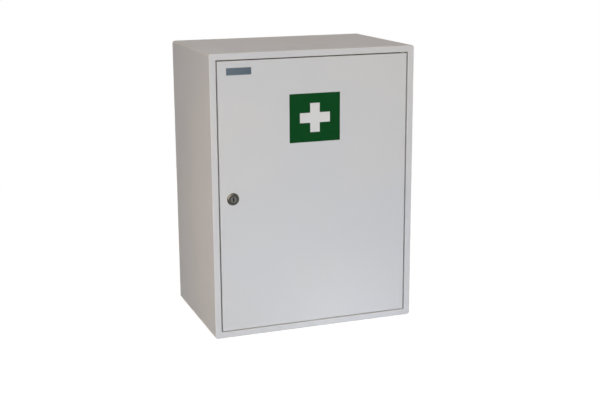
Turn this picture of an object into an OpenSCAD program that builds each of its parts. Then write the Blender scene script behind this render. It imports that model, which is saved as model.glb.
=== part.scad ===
// Lockable steel medicine cabinet: a folded case with a flush door on concealed pivot hinges,
// a cam lock, and three shelves that rest on clips in slotted uprights.
// Millimetres. The origin is the middle of the underside; +Z is up and the door faces -Y.

/* [Case] */
// Outside width of the case
cab_w = 450; // [380:1:600]
// Outside depth of the case, without the lock's head
cab_d = 300; // [240:1:400]
// Outside height of the case
cab_h = 600; // [520:1:800]
// Thickness of the case's steel sheet
body_t = 1.5; // [1:0.1:2]
// Outside radius of the four bends that run from front to back
edge_r = 6; // [4:0.5:9]
// Outside radius of the folds round the front of the case and of the door
fold_r = 2; // [1:0.25:3]

/* [Front frame] */
// Width of the frame that shows round the door
frame_w = 14; // [13:0.5:20]
// Depth to which the frame turns in beside the door
frame_return = 21.5; // [21:0.5:26]
// How far the stop angles reach into the doorway
stop_reach = 12; // [10:0.5:15]
// Leg of the stop angles that is welded to the outside of the frame's return
stop_leg = 12; // [8:0.5:16]
// Thickness of the stop angles
stop_t = 1.5; // [1:0.1:1.8]
// Diameter of the rubber buffers
buffer_d = 9; // [6:0.5:10]
// Play between the buffers and the closed door
buffer_play = 0.3; // [0.2:0.1:0.6]

/* [Door] */
// Gap between the door and the frame on the left and the right
door_gap = 2.5; // [2.3:0.1:3.5]
// Gap above the door
door_gap_top = 2; // [1.5:0.1:3.5]
// Gap below the door
door_gap_bottom = 1; // [0.8:0.1:3.5]
// Depth of the folded door
door_t = 18; // [16:0.5:18.5]
// How far the door's face lies behind the frame's face
door_inset = 0.5; // [0:0.1:1]
// Thickness of the door's steel sheet
door_sheet = 1.2; // [0.8:0.1:1.5]
// Width of the lips that are folded in behind the door
door_lip = 12; // [8:0.5:14]

/* [Door stiffener] */
// Width of the stiffening channel's crown
stiffener_w = 50; // [30:1:80]
// Width of each of its two feet
stiffener_foot = 14; // [8:1:20]
// Depth of the channel
stiffener_d = 13.5; // [8:0.5:14]
// Thickness of its sheet
stiffener_t = 1; // [0.8:0.1:1.5]
// Space between each end of the channel and the door's edge
stiffener_end = 45; // [20:1:80]

/* [Hinges] */
// Diameter of the hinge pins
hinge_pin_d = 6; // [5:0.5:6.5]
// Distance from the hinge axis to the door's hinge-side edge
hinge_edge = 9; // [8:0.5:12]
// Distance from the hinge axis to the door's face
hinge_face = 6; // [5.5:0.25:6.25]
// Radial running clearance on the pins
hinge_clear = 0.05; // [0.03:0.01:0.08]
// Thickness of the hinge plates
hinge_plate_t = 3; // [2:0.5:4]
// Length of the hinge plates
hinge_plate_l = 42; // [30:1:60]
// Outside diameter of the washers between the door and the frame
hinge_washer_d = 11; // [9:0.5:11.5]
// Diameter of the pins' heads
pin_head_d = 9; // [8:0.5:10]
// Thickness of the pins' heads
pin_head_t = 2.5; // [1.5:0.25:3.5]

/* [Lock] */
// Distance from the lock's axis to the door's free edge
lock_edge = 27.5; // [26:0.5:32]
// Height of the lock's axis above the underside
lock_z = 300; // [220:1:380]
// Diameter of the lock's head
lock_head_d = 26; // [22:0.5:30]
// How far the lock's head stands out of the door
lock_head_t = 6; // [4:0.25:8]
// Diameter of the threaded barrel
barrel_d = 19; // [18:0.5:20]
// Distance across the barrel's two flats
barrel_flats = 16.5; // [15.5:0.25:17.5]
// Diameter of the turning plug's front
plug_d = 13; // [12.5:0.25:14]
// Diameter of the turning plug behind its shoulder
plug_rear_d = 11.5; // [11:0.25:12]
// Width of the key slot
key_slot_w = 2.4; // [1.5:0.1:3]
// Length of the key slot
key_slot_l = 9; // [6:0.2:9.4]
// Distance across the lock nut's flats
lock_nut_af = 24; // [23:0.5:27]
// Thickness of the lock nut
lock_nut_t = 5; // [3:0.5:6]
// Thickness of the cam
cam_t = 2.5; // [2:0.25:3]
// Width of the cam
cam_w = 16; // [14:0.5:18]
// Reach of the cam from the lock's axis
cam_reach = 31; // [27:0.5:34]
// Side of the square on which the cam sits
cam_square = 7.5; // [7:0.25:7.75]
// Space between the cam and the stop angle behind which it turns
cam_play = 1.5; // [1:0.25:3]

/* [First-aid sign] */
// Width of the green field
sign_w = 112; // [80:1:140]
// Height of the green field
sign_h = 102; // [80:1:140]
// Distance from the door's top edge to the middle of the sign
sign_drop = 125; // [90:1:180]
// Width of the white cross
cross_w = 66.5; // [50:0.5:76]
// Height of the white cross
cross_h = 61; // [50:1:76]
// Width of the cross's arms
cross_arm = 21; // [14:1:26]
// Thickness of each layer of film
film_t = 0.25; // [0.15:0.05:0.4]

/* [Name plate] */
// Width of the bare name plate
plate_w = 53; // [40:1:70]
// Height of the bare name plate
plate_h = 15; // [10:1:20]
// Distance from the plate to the door's free edge
plate_side = 18.5; // [8:0.5:25]
// Distance from the plate to the door's top edge
plate_drop = 14; // [8:0.5:25]
// Thickness of the plate
plate_t = 0.6; // [0.4:0.1:1]
// Radius of the plate's corners
plate_r = 1; // [0.5:0.25:3]

/* [Shelves] */
// Height of the shelves' folded edges
shelf_h = 20; // [14:1:26]
// Thickness of the shelves' sheet
shelf_t = 1.2; // [0.8:0.1:1.5]
// Width of the lips folded in below the shelves
shelf_lip = 14; // [12:1:20]
// Space between the lock's last screw and the shelves' front edge
shelf_setback = 18; // [10:1:30]
// Space between the back panel and the shelves' rear edge
shelf_back_gap = 4; // [2:1:10]
// Play between the shelves and the uprights, each side
shelf_play = 2; // [1:0.5:3]
// Slot that carries the lower shelf, counted from 0 at the bottom
lower_slot = 5; // [4:1:7]
// Slot that carries the middle shelf
middle_slot = 10; // [9:1:12]
// Slot that carries the upper shelf
upper_slot = 15; // [14:1:15]

/* [Slotted uprights] */
// Width of the uprights
upright_w = 20; // [18:1:24]
// Depth of the uprights
upright_d = 8; // [7.5:0.5:10]
// Thickness of the uprights' sheet
upright_t = 1; // [0.8:0.1:1.2]
// Space between each end of the uprights and the top or bottom sheet
upright_end = 28; // [24:1:50]
// Distance from the shelves' front and rear edges to the middle of the uprights
upright_inset = 40; // [30:1:60]
// Distance between slots
slot_pitch = 25; // [22:1:30]
// Height of each slot
slot_h = 4; // [3.5:0.25:5]
// Width of each slot
slot_w = 10; // [9:0.5:12]

/* [Shelf clips] */
// Thickness of the clips
clip_t = 2; // [1.5:0.1:2.5]
// Reach of the clips' ledge from the upright
clip_reach = 11; // [9:0.5:13]
// Length of the tab that bears on the upright below the ledge
clip_drop = 12; // [8:0.5:16]
// Height of the hook behind the upright's web
clip_hook = 4; // [3:0.5:6]

/* [Back panel] */
// Height of the back panel's folded edge
back_flange = 14; // [10:1:20]
// Diameter of the four wall-fixing holes
wall_hole_d = 8.5; // [6:0.5:12]
// Distance from the sides of the case to the wall-fixing holes
wall_margin_x = 50; // [35:1:90]
// Distance from the top and bottom of the case to the wall-fixing holes
wall_margin_z = 60; // [35:1:120]

/* [Hidden] */
$fn = 64;
cut = 1;              // how far a cutter runs past the face that it opens
seat = 0.05;          // space left between sheets that are welded or glued together
shaft_clear = 0.05;   // radial or side clearance between the lock's turning pieces
thread_clear = 0.05;  // clearance of a screw or nut in its thread
least_fold = 0.2;     // inside radius of a fold whose outside radius is as small as its sheet

front_y = -cab_d / 2;
back_y = cab_d / 2;
mid_z = cab_h / 2;
inner_x = cab_w / 2 - body_t;

// Doorway and door
open_w = cab_w - 2 * frame_w;
open_h = cab_h - 2 * frame_w;
door_w = open_w - 2 * door_gap;
door_h = open_h - door_gap_top - door_gap_bottom;
door_right = door_w / 2;
door_left = -door_w / 2;
door_top = mid_z + open_h / 2 - door_gap_top;
door_mid_z = door_top - door_h / 2;
door_front = front_y + door_inset;
door_rear = door_front + door_t;
skin_back = door_front + door_sheet;
return_rear = front_y + frame_return;
stop_rear = return_rear + stop_t;
case_fold_in = max(fold_r - body_t, least_fold);
door_fold_in = max(fold_r - door_sheet, least_fold);

// Hinges: the pieces of the upper hinge, from the doorway's top edge upwards and downwards
hinge_x = door_right - hinge_edge;
hinge_y = door_front + hinge_face;
pin_r = hinge_pin_d / 2;
pin_hole_r = pin_r + hinge_clear;
doorway_top = mid_z + open_h / 2;
frame_plate_z = doorway_top + body_t + seat;
pin_head_z = frame_plate_z + hinge_plate_t + seat;
plate_rim = 6;
frame_plate_front = front_y + body_t + seat;
frame_plate_rear = hinge_y + pin_r + plate_rim;
frame_plate_right = inner_x - case_fold_in;
frame_plate_left = frame_plate_right - hinge_plate_l;
door_plate_drop = door_sheet + seat + hinge_plate_t;
door_plate_front = skin_back + door_fold_in;
door_plate_rear = door_rear - door_sheet - seat;
door_plate_right = door_right - door_sheet - seat;
ring_t = 0.8;
ring_depth = 0.6;
ring_rim = 1.5;
ring_play = 0.3;
ring_z = door_top - door_plate_drop - ring_play - ring_t;
pin_end = 1;
pin_chamfer = 0.6;

// Lock, in order from its face to its last screw
lock_x = door_left + lock_edge;
head_y = door_front - lock_head_t;
plug_recess = 0.8;
plug_shoulder = 14;
key_slot_depth = 16;
cam_front = stop_rear + cam_play;
cam_rear = cam_front + cam_t;
barrel_play = 0.3;
barrel_rear = cam_front - barrel_play;
cam_tip_r = 3;
cam_washer_t = 1;
cam_washer_d = 10;
washer_rear = cam_rear + cam_washer_t;
cam_screw_d = 4;
cam_screw_l = 10;
cam_screw_run_out = 1;
cam_screw_hole_l = cam_screw_l + cam_screw_run_out;
screw_head_d = 8;
screw_head_t = 3;
screw_rear = washer_rear + screw_head_t;
recess_w = 1.2;
recess_l = 5;
recess_depth = 1.6;

// Sign and name plate
sign_z = door_top - sign_drop;
plate_x = door_left + plate_side + plate_w / 2;
plate_z = door_top - plate_drop - plate_h / 2;

// Uprights, clips and shelves
shelf_front = screw_rear + shelf_setback;
shelf_rear = back_y - body_t - shelf_back_gap;
web_x = inner_x - seat - upright_d;
shelf_w = 2 * (web_x - shelf_play);
upright_z = body_t + upright_end;
upright_h = cab_h - 2 * upright_z;
slot_count = floor((upright_h - slot_pitch) / slot_pitch) + 1;
slot_first = upright_z + (upright_h - (slot_count - 1) * slot_pitch) / 2;
clip_side_play = 0.5;
clip_w = slot_w - 2 * clip_side_play;
clip_play = 0.1;
shelf_seat = 0.1;
support_ys = [shelf_front + upright_inset, shelf_rear - upright_inset];
function slot_bottom(k) = slot_first + k * slot_pitch - slot_h / 2;
function ledge_top(k) = slot_bottom(k) + clip_play + clip_t;

// Wall-fixing holes, from the middle of the back
wall_hole_x = cab_w / 2 - wall_margin_x;
wall_hole_z = cab_h / 2 - wall_margin_z;

// Rubber buffers: two on the lock side's stop angle, one each on the top and bottom ones
buffer_inset = 60;
buffer_t = return_rear - door_rear - buffer_play - seat;
buffer_edge = open_w / 2 - stop_reach / 2;
buffer_level = open_h / 2 - stop_reach / 2;

// Stop angles above and below end beside the hinge plates
stop_end_gap = 6;
stop_left = -open_w / 2 + stop_reach + stop_end_gap;
stop_right = frame_plate_left - stop_end_gap;

// Colours
paint = [0.84, 0.84, 0.83];
zinc = [0.72, 0.73, 0.74];
nickel = [0.55, 0.54, 0.53];
nylon = [0.93, 0.93, 0.90];
rubber = [0.13, 0.13, 0.13];
green = [0.02, 0.29, 0.11];
white = [0.93, 0.93, 0.93];
plate_grey = [0.52, 0.58, 0.62];

// Stands a shape that was drawn lying face down so that its face is at depth y: the drawing's
// x stays, its z becomes the depth, and its y points down.
module facing(y) {
    translate([0, y, mid_z])
        rotate([-90, 0, 0]) children();
}

// The same, on the lock's axis
module on_lock_axis(y) {
    translate([lock_x, y, lock_z])
        rotate([-90, 0, 0]) children();
}

// Makes the lower one of two pieces that mirror each other in the case's middle height
module lower() {
    translate([0, 0, cab_h])
        mirror([0, 0, 1]) children();
}

// Flat rectangle with rounded corners, centred
module rounded_rect(w, h, r) {
    square([w - 2 * r, h], center = true);
    square([w, h - 2 * r], center = true);
    for (x = [-1, 1])
        for (y = [-1, 1])
            translate([x * (w / 2 - r), y * (h / 2 - r)]) circle(r);
}

// Section of a strip w wide and d deep whose outer front corner, at x = w, is rounded by fold
module edge_section(w, d, fold) {
    translate([0, fold]) square([w, d - fold]);
    square([w - fold, d]);
    translate([w - fold, fold]) circle(fold);
}

// Solid w by h by d, lying on its face. The four edges along its depth have the radius corner, and
// the edges round its face the smaller radius fold.
module case_block(w, h, d, corner, fold) {
    core_w = w - 2 * corner;
    core_h = h - 2 * corner;
    translate([-core_w / 2, -core_h / 2, 0]) cube([core_w, core_h, d]);
    for (turn = [0, 180])
        rotate(turn) {
            translate([core_w / 2, core_h / 2, 0])
                rotate([90, 0, 0])
                    linear_extrude(core_h) edge_section(corner, d, fold);
            translate([-core_w / 2, core_h / 2, 0])
                rotate([90, 0, 90])
                    linear_extrude(core_w) edge_section(corner, d, fold);
            translate([core_w / 2, core_h / 2, 0])
                rotate_extrude(angle = 90) edge_section(corner, d, fold);
            translate([core_w / 2, -core_h / 2, 0])
                rotate(-90)
                    rotate_extrude(angle = 90) edge_section(corner, d, fold);
        }
}

// Section w wide and d deep whose two front corners are rounded by fold
module front_section(w, d, fold) {
    translate([-w / 2, fold]) square([w, d - fold]);
    translate([-w / 2 + fold, 0]) square([w - 2 * fold, d]);
    for (x = [-1, 1])
        translate([x * (w / 2 - fold), fold]) circle(fold);
}

// Solid w by h by d, lying on its face, with square corners and the edges round its face rounded
module folded_block(w, h, d, fold) {
    intersection() {
        rotate([90, 0, 0])
            linear_extrude(h, center = true) front_section(w, d, fold);
        rotate([90, 0, 90])
            linear_extrude(w, center = true) front_section(h, d, fold);
    }
}

// Cutter that rounds the front edges of an opening w by h in a sheet that lies on its face
module opening_fold_cutter(w, h, fold) {
    difference() {
        translate([-w / 2 - fold, -h / 2 - fold, -cut])
            cube([w + 2 * fold, h + 2 * fold, cut + fold]);
        for (x = [-1, 1])
            translate([x * (w / 2 + fold), h, fold])
                rotate([90, 0, 0]) cylinder(r = fold, h = 2 * h);
        for (y = [-1, 1])
            translate([-w, y * (h / 2 + fold), fold])
                rotate([0, 90, 0]) cylinder(r = fold, h = 2 * w);
    }
}

// Vertical bore on the hinge axis
module hinge_bore(r) {
    translate([hinge_x, hinge_y, -cut]) cylinder(r = r, h = cab_h + 2 * cut);
}

// Section of the lock's barrel, a circle with two flats
module barrel_section(clear) {
    intersection() {
        circle(barrel_d / 2 + clear);
        square([barrel_flats + 2 * clear, barrel_d + 4 * clear], center = true);
    }
}

module body_shell() {
    color(paint)
        difference() {
            facing(front_y)
                difference() {
                    union() {
                        difference() {
                            case_block(cab_w, cab_h, cab_d, edge_r, fold_r);
                            translate([0, 0, body_t])
                                case_block(cab_w - 2 * body_t, cab_h - 2 * body_t,
                                           cab_d, edge_r - body_t, case_fold_in);
                        }
                        translate([0, 0, body_t])
                            linear_extrude(frame_return - body_t)
                                square([open_w + 2 * body_t, open_h + 2 * body_t], center = true);
                    }
                    translate([0, 0, -cut])
                        linear_extrude(frame_return + 2 * cut)
                            square([open_w, open_h], center = true);
                    opening_fold_cutter(open_w, open_h, fold_r);
                }
            intersection() {
                hinge_bore(pin_hole_r);
                translate([0, hinge_y, mid_z])
                    cube([cab_w, 4 * pin_r, open_h + 4 * body_t], center = true);
            }
        }
}

module back_panel() {
    w = cab_w - 2 * body_t - 2 * seat;
    h = cab_h - 2 * body_t - 2 * seat;
    corner = edge_r - body_t - seat;
    color(paint)
        translate([0, back_y, mid_z])
            rotate([90, 0, 0])
                difference() {
                    linear_extrude(back_flange) rounded_rect(w, h, corner);
                    translate([0, 0, body_t])
                        linear_extrude(back_flange)
                            rounded_rect(w - 2 * body_t, h - 2 * body_t, corner - body_t);
                    for (x = [-wall_hole_x, wall_hole_x])
                        for (z = [-wall_hole_z, wall_hole_z])
                            translate([x, z, -cut]) cylinder(d = wall_hole_d, h = body_t + 2 * cut);
                }
}

// Section of a stop angle: x is the distance out of the doorway, y the depth behind the return's rear
module stop_section() {
    translate([-stop_reach, 0]) square([stop_reach + body_t + seat + stop_t, stop_t]);
    translate([body_t + seat, -stop_leg]) square([stop_t, stop_leg + stop_t]);
}

module stop_angle_lock_side() {
    color(paint)
        translate([-open_w / 2, return_rear + seat, mid_z - open_h / 2])
            mirror([1, 0, 0])
                linear_extrude(open_h) stop_section();
}

module stop_angle_top() {
    color(paint)
        translate([stop_left, return_rear + seat, doorway_top])
            rotate([90, 0, 90])
                linear_extrude(stop_right - stop_left)
                    mirror([1, -1, 0]) stop_section();
}

module stop_angle_bottom() {
    lower() stop_angle_top();
}

module door_buffers() {
    face = door_rear + buffer_play;
    color(rubber)
        for (p = [[-buffer_edge, mid_z + buffer_level - buffer_inset],
                  [-buffer_edge, mid_z - buffer_level + buffer_inset],
                  [0, mid_z + buffer_level],
                  [0, mid_z - buffer_level]])
            translate([p.x, face, p.y])
                rotate([-90, 0, 0]) cylinder(d = buffer_d, h = buffer_t);
}

module frame_hinge_plate_upper() {
    color(zinc)
        difference() {
            translate([frame_plate_left, frame_plate_front, frame_plate_z])
                cube([hinge_plate_l, frame_plate_rear - frame_plate_front, hinge_plate_t]);
            hinge_bore(pin_hole_r);
        }
}

module frame_hinge_plate_lower() {
    lower() frame_hinge_plate_upper();
}

// Pin that hangs from its head, pointing down; top is the underside of the head, tip the pin's end
module hinge_pin(top, tip) {
    translate([hinge_x, hinge_y, 0]) {
        translate([0, 0, top]) cylinder(d = pin_head_d, h = pin_head_t);
        translate([0, 0, tip + pin_chamfer]) cylinder(r = pin_r, h = top - tip - pin_chamfer);
        translate([0, 0, tip]) cylinder(r1 = pin_r - pin_chamfer, r2 = pin_r, h = pin_chamfer);
    }
}

module hinge_pin_upper() {
    color(zinc)
        difference() {
            hinge_pin(pin_head_z, ring_z - pin_end);
            translate([hinge_x, hinge_y, ring_z - seat])
                linear_extrude(ring_t + 2 * seat)
                    difference() {
                        circle(pin_r + cut);
                        circle(pin_r - ring_depth);
                    }
        }
}

module hinge_pin_lower() {
    color(zinc)
        lower() hinge_pin(pin_head_z, doorway_top - door_gap_bottom - door_plate_drop - pin_end);
}

module hinge_pin_ring() {
    inner_r = pin_r - ring_depth + seat;
    color(zinc)
        translate([hinge_x, hinge_y, ring_z])
            linear_extrude(ring_t)
                difference() {
                    circle(pin_r + ring_rim);
                    circle(inner_r);
                    translate([0, -inner_r]) square([pin_r + ring_rim + cut, 2 * inner_r]);
                }
}

// Washer between the doorway's top edge and a door that hangs gap below it
module hinge_washer(gap) {
    color(nylon)
        translate([hinge_x, hinge_y, doorway_top - gap + hinge_clear])
            difference() {
                cylinder(d = hinge_washer_d, h = gap - 2 * hinge_clear);
                translate([0, 0, -cut]) cylinder(r = pin_hole_r, h = gap + 2 * cut);
            }
}

module hinge_washer_upper() {
    hinge_washer(door_gap_top);
}

module hinge_washer_lower() {
    lower() hinge_washer(door_gap_bottom);
}

// Slotted channel on the right-hand wall, with its middle at depth y
module upright(y) {
    color(paint)
        translate([web_x, y - upright_w / 2, upright_z])
            difference() {
                cube([upright_d, upright_w, upright_h]);
                translate([upright_t, upright_t, -cut])
                    cube([upright_d, upright_w - 2 * upright_t, upright_h + 2 * cut]);
                for (k = [0:slot_count - 1])
                    translate([-cut, (upright_w - slot_w) / 2, slot_bottom(k) - upright_z])
                        cube([upright_t + 2 * cut, slot_w, slot_h]);
            }
}

module upright_right_front() {
    upright(support_ys[0]);
}

module upright_right_rear() {
    upright(support_ys[1]);
}

module upright_left_front() {
    mirror([1, 0, 0]) upright(support_ys[0]);
}

module upright_left_rear() {
    mirror([1, 0, 0]) upright(support_ys[1]);
}

// Section of a clip: x runs from the upright's face into the case, y is the height over the slot's edge
module clip_section() {
    behind = upright_t + 2 * clip_play + clip_t;
    translate([-behind, 0]) square([behind + clip_reach, clip_t]);
    translate([-behind, 0]) square([clip_t, clip_t + clip_hook]);
    translate([clip_play, -clip_drop]) square([clip_t, clip_drop + clip_t]);
}

// The four clips that carry the shelf at slot k
module shelf_clips(k) {
    color(zinc)
        for (side = [0, 1])
            mirror([side, 0, 0])
                for (y = support_ys)
                    translate([web_x, y + clip_w / 2, slot_bottom(k) + clip_play])
                        rotate([90, 0, 0])
                            linear_extrude(clip_w)
                                mirror([1, 0]) clip_section();
}

// Folded tray, open below, whose lips rest on the clips at slot k
module shelf(k) {
    depth = shelf_rear - shelf_front;
    color(paint)
        translate([0, (shelf_front + shelf_rear) / 2, ledge_top(k) + shelf_seat + shelf_h])
            rotate([180, 0, 0])
                difference() {
                    folded_block(shelf_w, depth, shelf_h, fold_r);
                    translate([0, 0, shelf_t])
                        folded_block(shelf_w - 2 * shelf_t, depth - 2 * shelf_t, shelf_h - 2 * shelf_t,
                                     max(fold_r - shelf_t, least_fold));
                    translate([0, 0, shelf_t])
                        linear_extrude(shelf_h)
                            square([shelf_w - 2 * shelf_lip, depth - 2 * shelf_lip], center = true);
                }
}

module shelf_clips_lower() {
    shelf_clips(lower_slot);
}

module shelf_clips_middle() {
    shelf_clips(middle_slot);
}

module shelf_clips_upper() {
    shelf_clips(upper_slot);
}

module shelf_lower() {
    shelf(lower_slot);
}

module shelf_middle() {
    shelf(middle_slot);
}

module shelf_upper() {
    shelf(upper_slot);
}

module door_panel() {
    color(paint)
        difference() {
            translate([0, 0, door_mid_z - mid_z]) facing(door_front)
                difference() {
                    folded_block(door_w, door_h, door_t, fold_r);
                    translate([0, 0, door_sheet])
                        folded_block(door_w - 2 * door_sheet, door_h - 2 * door_sheet,
                                     door_t - 2 * door_sheet, door_fold_in);
                    translate([0, 0, door_sheet])
                        linear_extrude(door_t)
                            square([door_w - 2 * door_lip, door_h - 2 * door_lip], center = true);
                }
            hinge_bore(pin_hole_r);
            on_lock_axis(door_front - cut)
                linear_extrude(door_sheet + 2 * cut) barrel_section(thread_clear);
        }
}

// Hat-shaped channel that is welded to the back of the door's face
module door_stiffener() {
    length = door_h - 2 * stiffener_end;
    inner_w = stiffener_w - 2 * stiffener_t;
    color(paint)
        translate([0, skin_back + seat, door_mid_z - length / 2])
            linear_extrude(length)
                difference() {
                    union() {
                        translate([-stiffener_w / 2, 0]) square([stiffener_w, stiffener_d]);
                        translate([-stiffener_w / 2 - stiffener_foot, 0])
                            square([stiffener_w + 2 * stiffener_foot, stiffener_t]);
                    }
                    translate([-inner_w / 2, -cut]) square([inner_w, stiffener_d - stiffener_t + cut]);
                }
}

// Plate inside the top of a door that hangs gap below the doorway's top edge
module door_hinge_plate(gap) {
    bottom = doorway_top - gap - door_plate_drop;
    color(zinc)
        difference() {
            translate([door_plate_right - hinge_plate_l, door_plate_front, bottom])
                cube([hinge_plate_l, door_plate_rear - door_plate_front, hinge_plate_t]);
            hinge_bore(pin_hole_r);
        }
}

module door_hinge_plate_upper() {
    door_hinge_plate(door_gap_top);
}

module door_hinge_plate_lower() {
    lower() door_hinge_plate(door_gap_bottom);
}

module sign_field() {
    color(green)
        translate([-sign_w / 2, door_front - seat - film_t, sign_z - sign_h / 2])
            cube([sign_w, film_t, sign_h]);
}

module sign_cross() {
    color(white)
        translate([0, door_front - 2 * seat - film_t, sign_z])
            rotate([90, 0, 0])
                linear_extrude(film_t) {
                    square([cross_w, cross_arm], center = true);
                    square([cross_arm, cross_h], center = true);
                }
}

module name_plate() {
    color(plate_grey)
        translate([plate_x, door_front - seat, plate_z])
            rotate([90, 0, 0])
                linear_extrude(plate_t) rounded_rect(plate_w, plate_h, plate_r);
}

// The lock's fixed part: a bevelled head, a threaded barrel with two flats, and a stepped bore
module lock_body() {
    bevel_w = 2.5;
    bevel_t = 0.6 * lock_head_t;
    mouth = 0.9;
    head_r = lock_head_d / 2;
    bore_r = plug_d / 2 + shaft_clear;
    color(nickel)
        difference() {
            union() {
                on_lock_axis(head_y) cylinder(r1 = head_r - bevel_w, r2 = head_r, h = bevel_t);
                on_lock_axis(head_y + bevel_t) cylinder(r = head_r, h = lock_head_t - seat - bevel_t);
                on_lock_axis(door_front - seat)
                    linear_extrude(barrel_rear - door_front + seat) barrel_section(0);
            }
            on_lock_axis(head_y - cut)
                cylinder(r = bore_r, h = cut + plug_recess + plug_shoulder + shaft_clear);
            on_lock_axis(head_y)
                cylinder(r1 = bore_r + mouth, r2 = bore_r, h = mouth);
            on_lock_axis(head_y)
                cylinder(d = plug_rear_d + 2 * shaft_clear, h = barrel_rear - head_y + cut);
        }
}

module lock_nut() {
    color(zinc)
        on_lock_axis(skin_back + seat)
            difference() {
                cylinder(d = lock_nut_af / cos(30), h = lock_nut_t, $fn = 6);
                translate([0, 0, -cut]) cylinder(d = barrel_d + 2 * thread_clear, h = lock_nut_t + 2 * cut);
            }
}

// Turning plug: the key slot in front, and a square with a threaded hole behind
module lock_plug() {
    plug_face = head_y + plug_recess;
    square_rear = cam_rear - shaft_clear;
    color(nickel)
        difference() {
            union() {
                on_lock_axis(plug_face) cylinder(d = plug_d, h = plug_shoulder);
                on_lock_axis(plug_face) cylinder(d = plug_rear_d, h = cam_front - shaft_clear - plug_face);
                on_lock_axis(plug_face)
                    linear_extrude(square_rear - plug_face) square(cam_square, center = true);
            }
            on_lock_axis(plug_face - cut)
                linear_extrude(key_slot_depth + cut) square([key_slot_w, key_slot_l], center = true);
            on_lock_axis(square_rear - cam_screw_hole_l)
                cylinder(d = cam_screw_d + 2 * thread_clear, h = cam_screw_hole_l + cut);
        }
}

// Cam that hangs down when the lock is open
module lock_cam() {
    color(zinc)
        on_lock_axis(cam_front)
            linear_extrude(cam_t)
                difference() {
                    union() {
                        circle(d = cam_w);
                        translate([-cam_w / 2, 0]) square([cam_w, cam_reach - cam_tip_r]);
                        translate([-cam_w / 2 + cam_tip_r, 0])
                            square([cam_w - 2 * cam_tip_r, cam_reach]);
                        for (x = [-1, 1])
                            translate([x * (cam_w / 2 - cam_tip_r), cam_reach - cam_tip_r]) circle(cam_tip_r);
                    }
                    square(cam_square + 2 * shaft_clear, center = true);
                }
}

module cam_washer() {
    color(zinc)
        on_lock_axis(cam_rear + seat)
            linear_extrude(washer_rear - cam_rear - seat)
                difference() {
                    circle(d = cam_washer_d);
                    circle(d = cam_screw_d + 2 * thread_clear);
                }
}

module cam_screw() {
    color(zinc)
        difference() {
            union() {
                on_lock_axis(washer_rear + seat - cam_screw_l)
                    cylinder(d = cam_screw_d, h = cam_screw_l + seat);
                on_lock_axis(washer_rear + seat) cylinder(d = screw_head_d, h = screw_head_t - seat);
            }
            on_lock_axis(screw_rear - recess_depth)
                linear_extrude(recess_depth + cut) {
                    square([recess_l, recess_w], center = true);
                    square([recess_w, recess_l], center = true);
                }
        }
}

body_shell();
back_panel();
stop_angle_lock_side();
stop_angle_top();
stop_angle_bottom();
door_buffers();
frame_hinge_plate_upper();
frame_hinge_plate_lower();
hinge_pin_upper();
hinge_pin_lower();
hinge_pin_ring();
hinge_washer_upper();
hinge_washer_lower();
upright_left_front();
upright_left_rear();
upright_right_front();
upright_right_rear();
shelf_clips_lower();
shelf_clips_middle();
shelf_clips_upper();
shelf_lower();
shelf_middle();
shelf_upper();
door_panel();
door_stiffener();
door_hinge_plate_upper();
door_hinge_plate_lower();
sign_field();
sign_cross();
name_plate();
lock_body();
lock_nut();
lock_plug();
lock_cam();
cam_washer();
cam_screw();
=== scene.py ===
"""Visual model of a lockable steel medicine cabinet: finishes, small parts, studio and camera."""
import logging
import math
from collections.abc import Iterable, Sequence
from dataclasses import dataclass
from enum import Enum
from typing import Any

import bmesh
import bpy
from mathutils import Matrix, Vector


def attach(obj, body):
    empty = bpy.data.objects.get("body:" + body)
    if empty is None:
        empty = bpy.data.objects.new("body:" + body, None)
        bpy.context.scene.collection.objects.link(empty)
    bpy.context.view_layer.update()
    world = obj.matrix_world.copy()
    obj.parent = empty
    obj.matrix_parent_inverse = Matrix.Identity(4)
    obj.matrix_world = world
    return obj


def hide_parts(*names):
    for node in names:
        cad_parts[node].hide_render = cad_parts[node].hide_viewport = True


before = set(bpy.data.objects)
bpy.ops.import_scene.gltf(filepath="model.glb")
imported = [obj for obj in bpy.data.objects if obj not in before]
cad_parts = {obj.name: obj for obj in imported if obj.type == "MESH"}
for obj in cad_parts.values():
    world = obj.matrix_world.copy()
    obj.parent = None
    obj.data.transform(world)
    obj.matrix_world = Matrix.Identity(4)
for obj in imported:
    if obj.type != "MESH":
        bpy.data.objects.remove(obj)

LOG = logging.getLogger("cabinet")
MM = 0.001
QUARTER_TURN = math.pi / 2
WHITE = (1.0, 1.0, 1.0, 1.0)
# Place of the lock's axis across and up the door, in millimetres
LOCK_AXIS = (-181.0, 300.0)

Shade = tuple[int, int, int]
Colour = tuple[float, float, float, float]
Point = tuple[float, float, float]
Triple = tuple[float, float, float]
Socket = bpy.types.NodeSocket
Piece = bpy.types.Object
Shape = bmesh.types.BMesh


class Body(Enum):
    """Moving bodies of the cabinet."""

    CASE = "case"
    DOOR = "door"
    LOCK_CORE = "lock_core"
    LOWER_SHELF = "lower_shelf"
    MIDDLE_SHELF = "middle_shelf"
    UPPER_SHELF = "upper_shelf"


class Slot(Enum):
    """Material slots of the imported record."""

    PAINT = "case_paint"
    ZINC = "zinc_steel"
    NICKEL = "lock_nickel"
    SIGN_GREEN = "sign_green"
    SIGN_WHITE = "sign_white"
    PLATE = "name_plate_metal"
    NYLON = "washer_nylon"
    RUBBER = "buffer_rubber"


class Effect(Enum):
    """Surface effects that several finishes share; each value names its method of EffectTree."""

    ORANGE_PEEL = "orange_peel"
    PANEL_WAVE = "panel_wave"
    EDGE_FILM = "edge_film"
    SETTLED_DUST = "settled_dust"
    BRUSHED_GRAIN = "brushed_grain"
    TURNED_RINGS = "turned_rings"
    PLATING_BLOOM = "plating_bloom"
    HANDLING_MARKS = "handling_marks"


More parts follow.
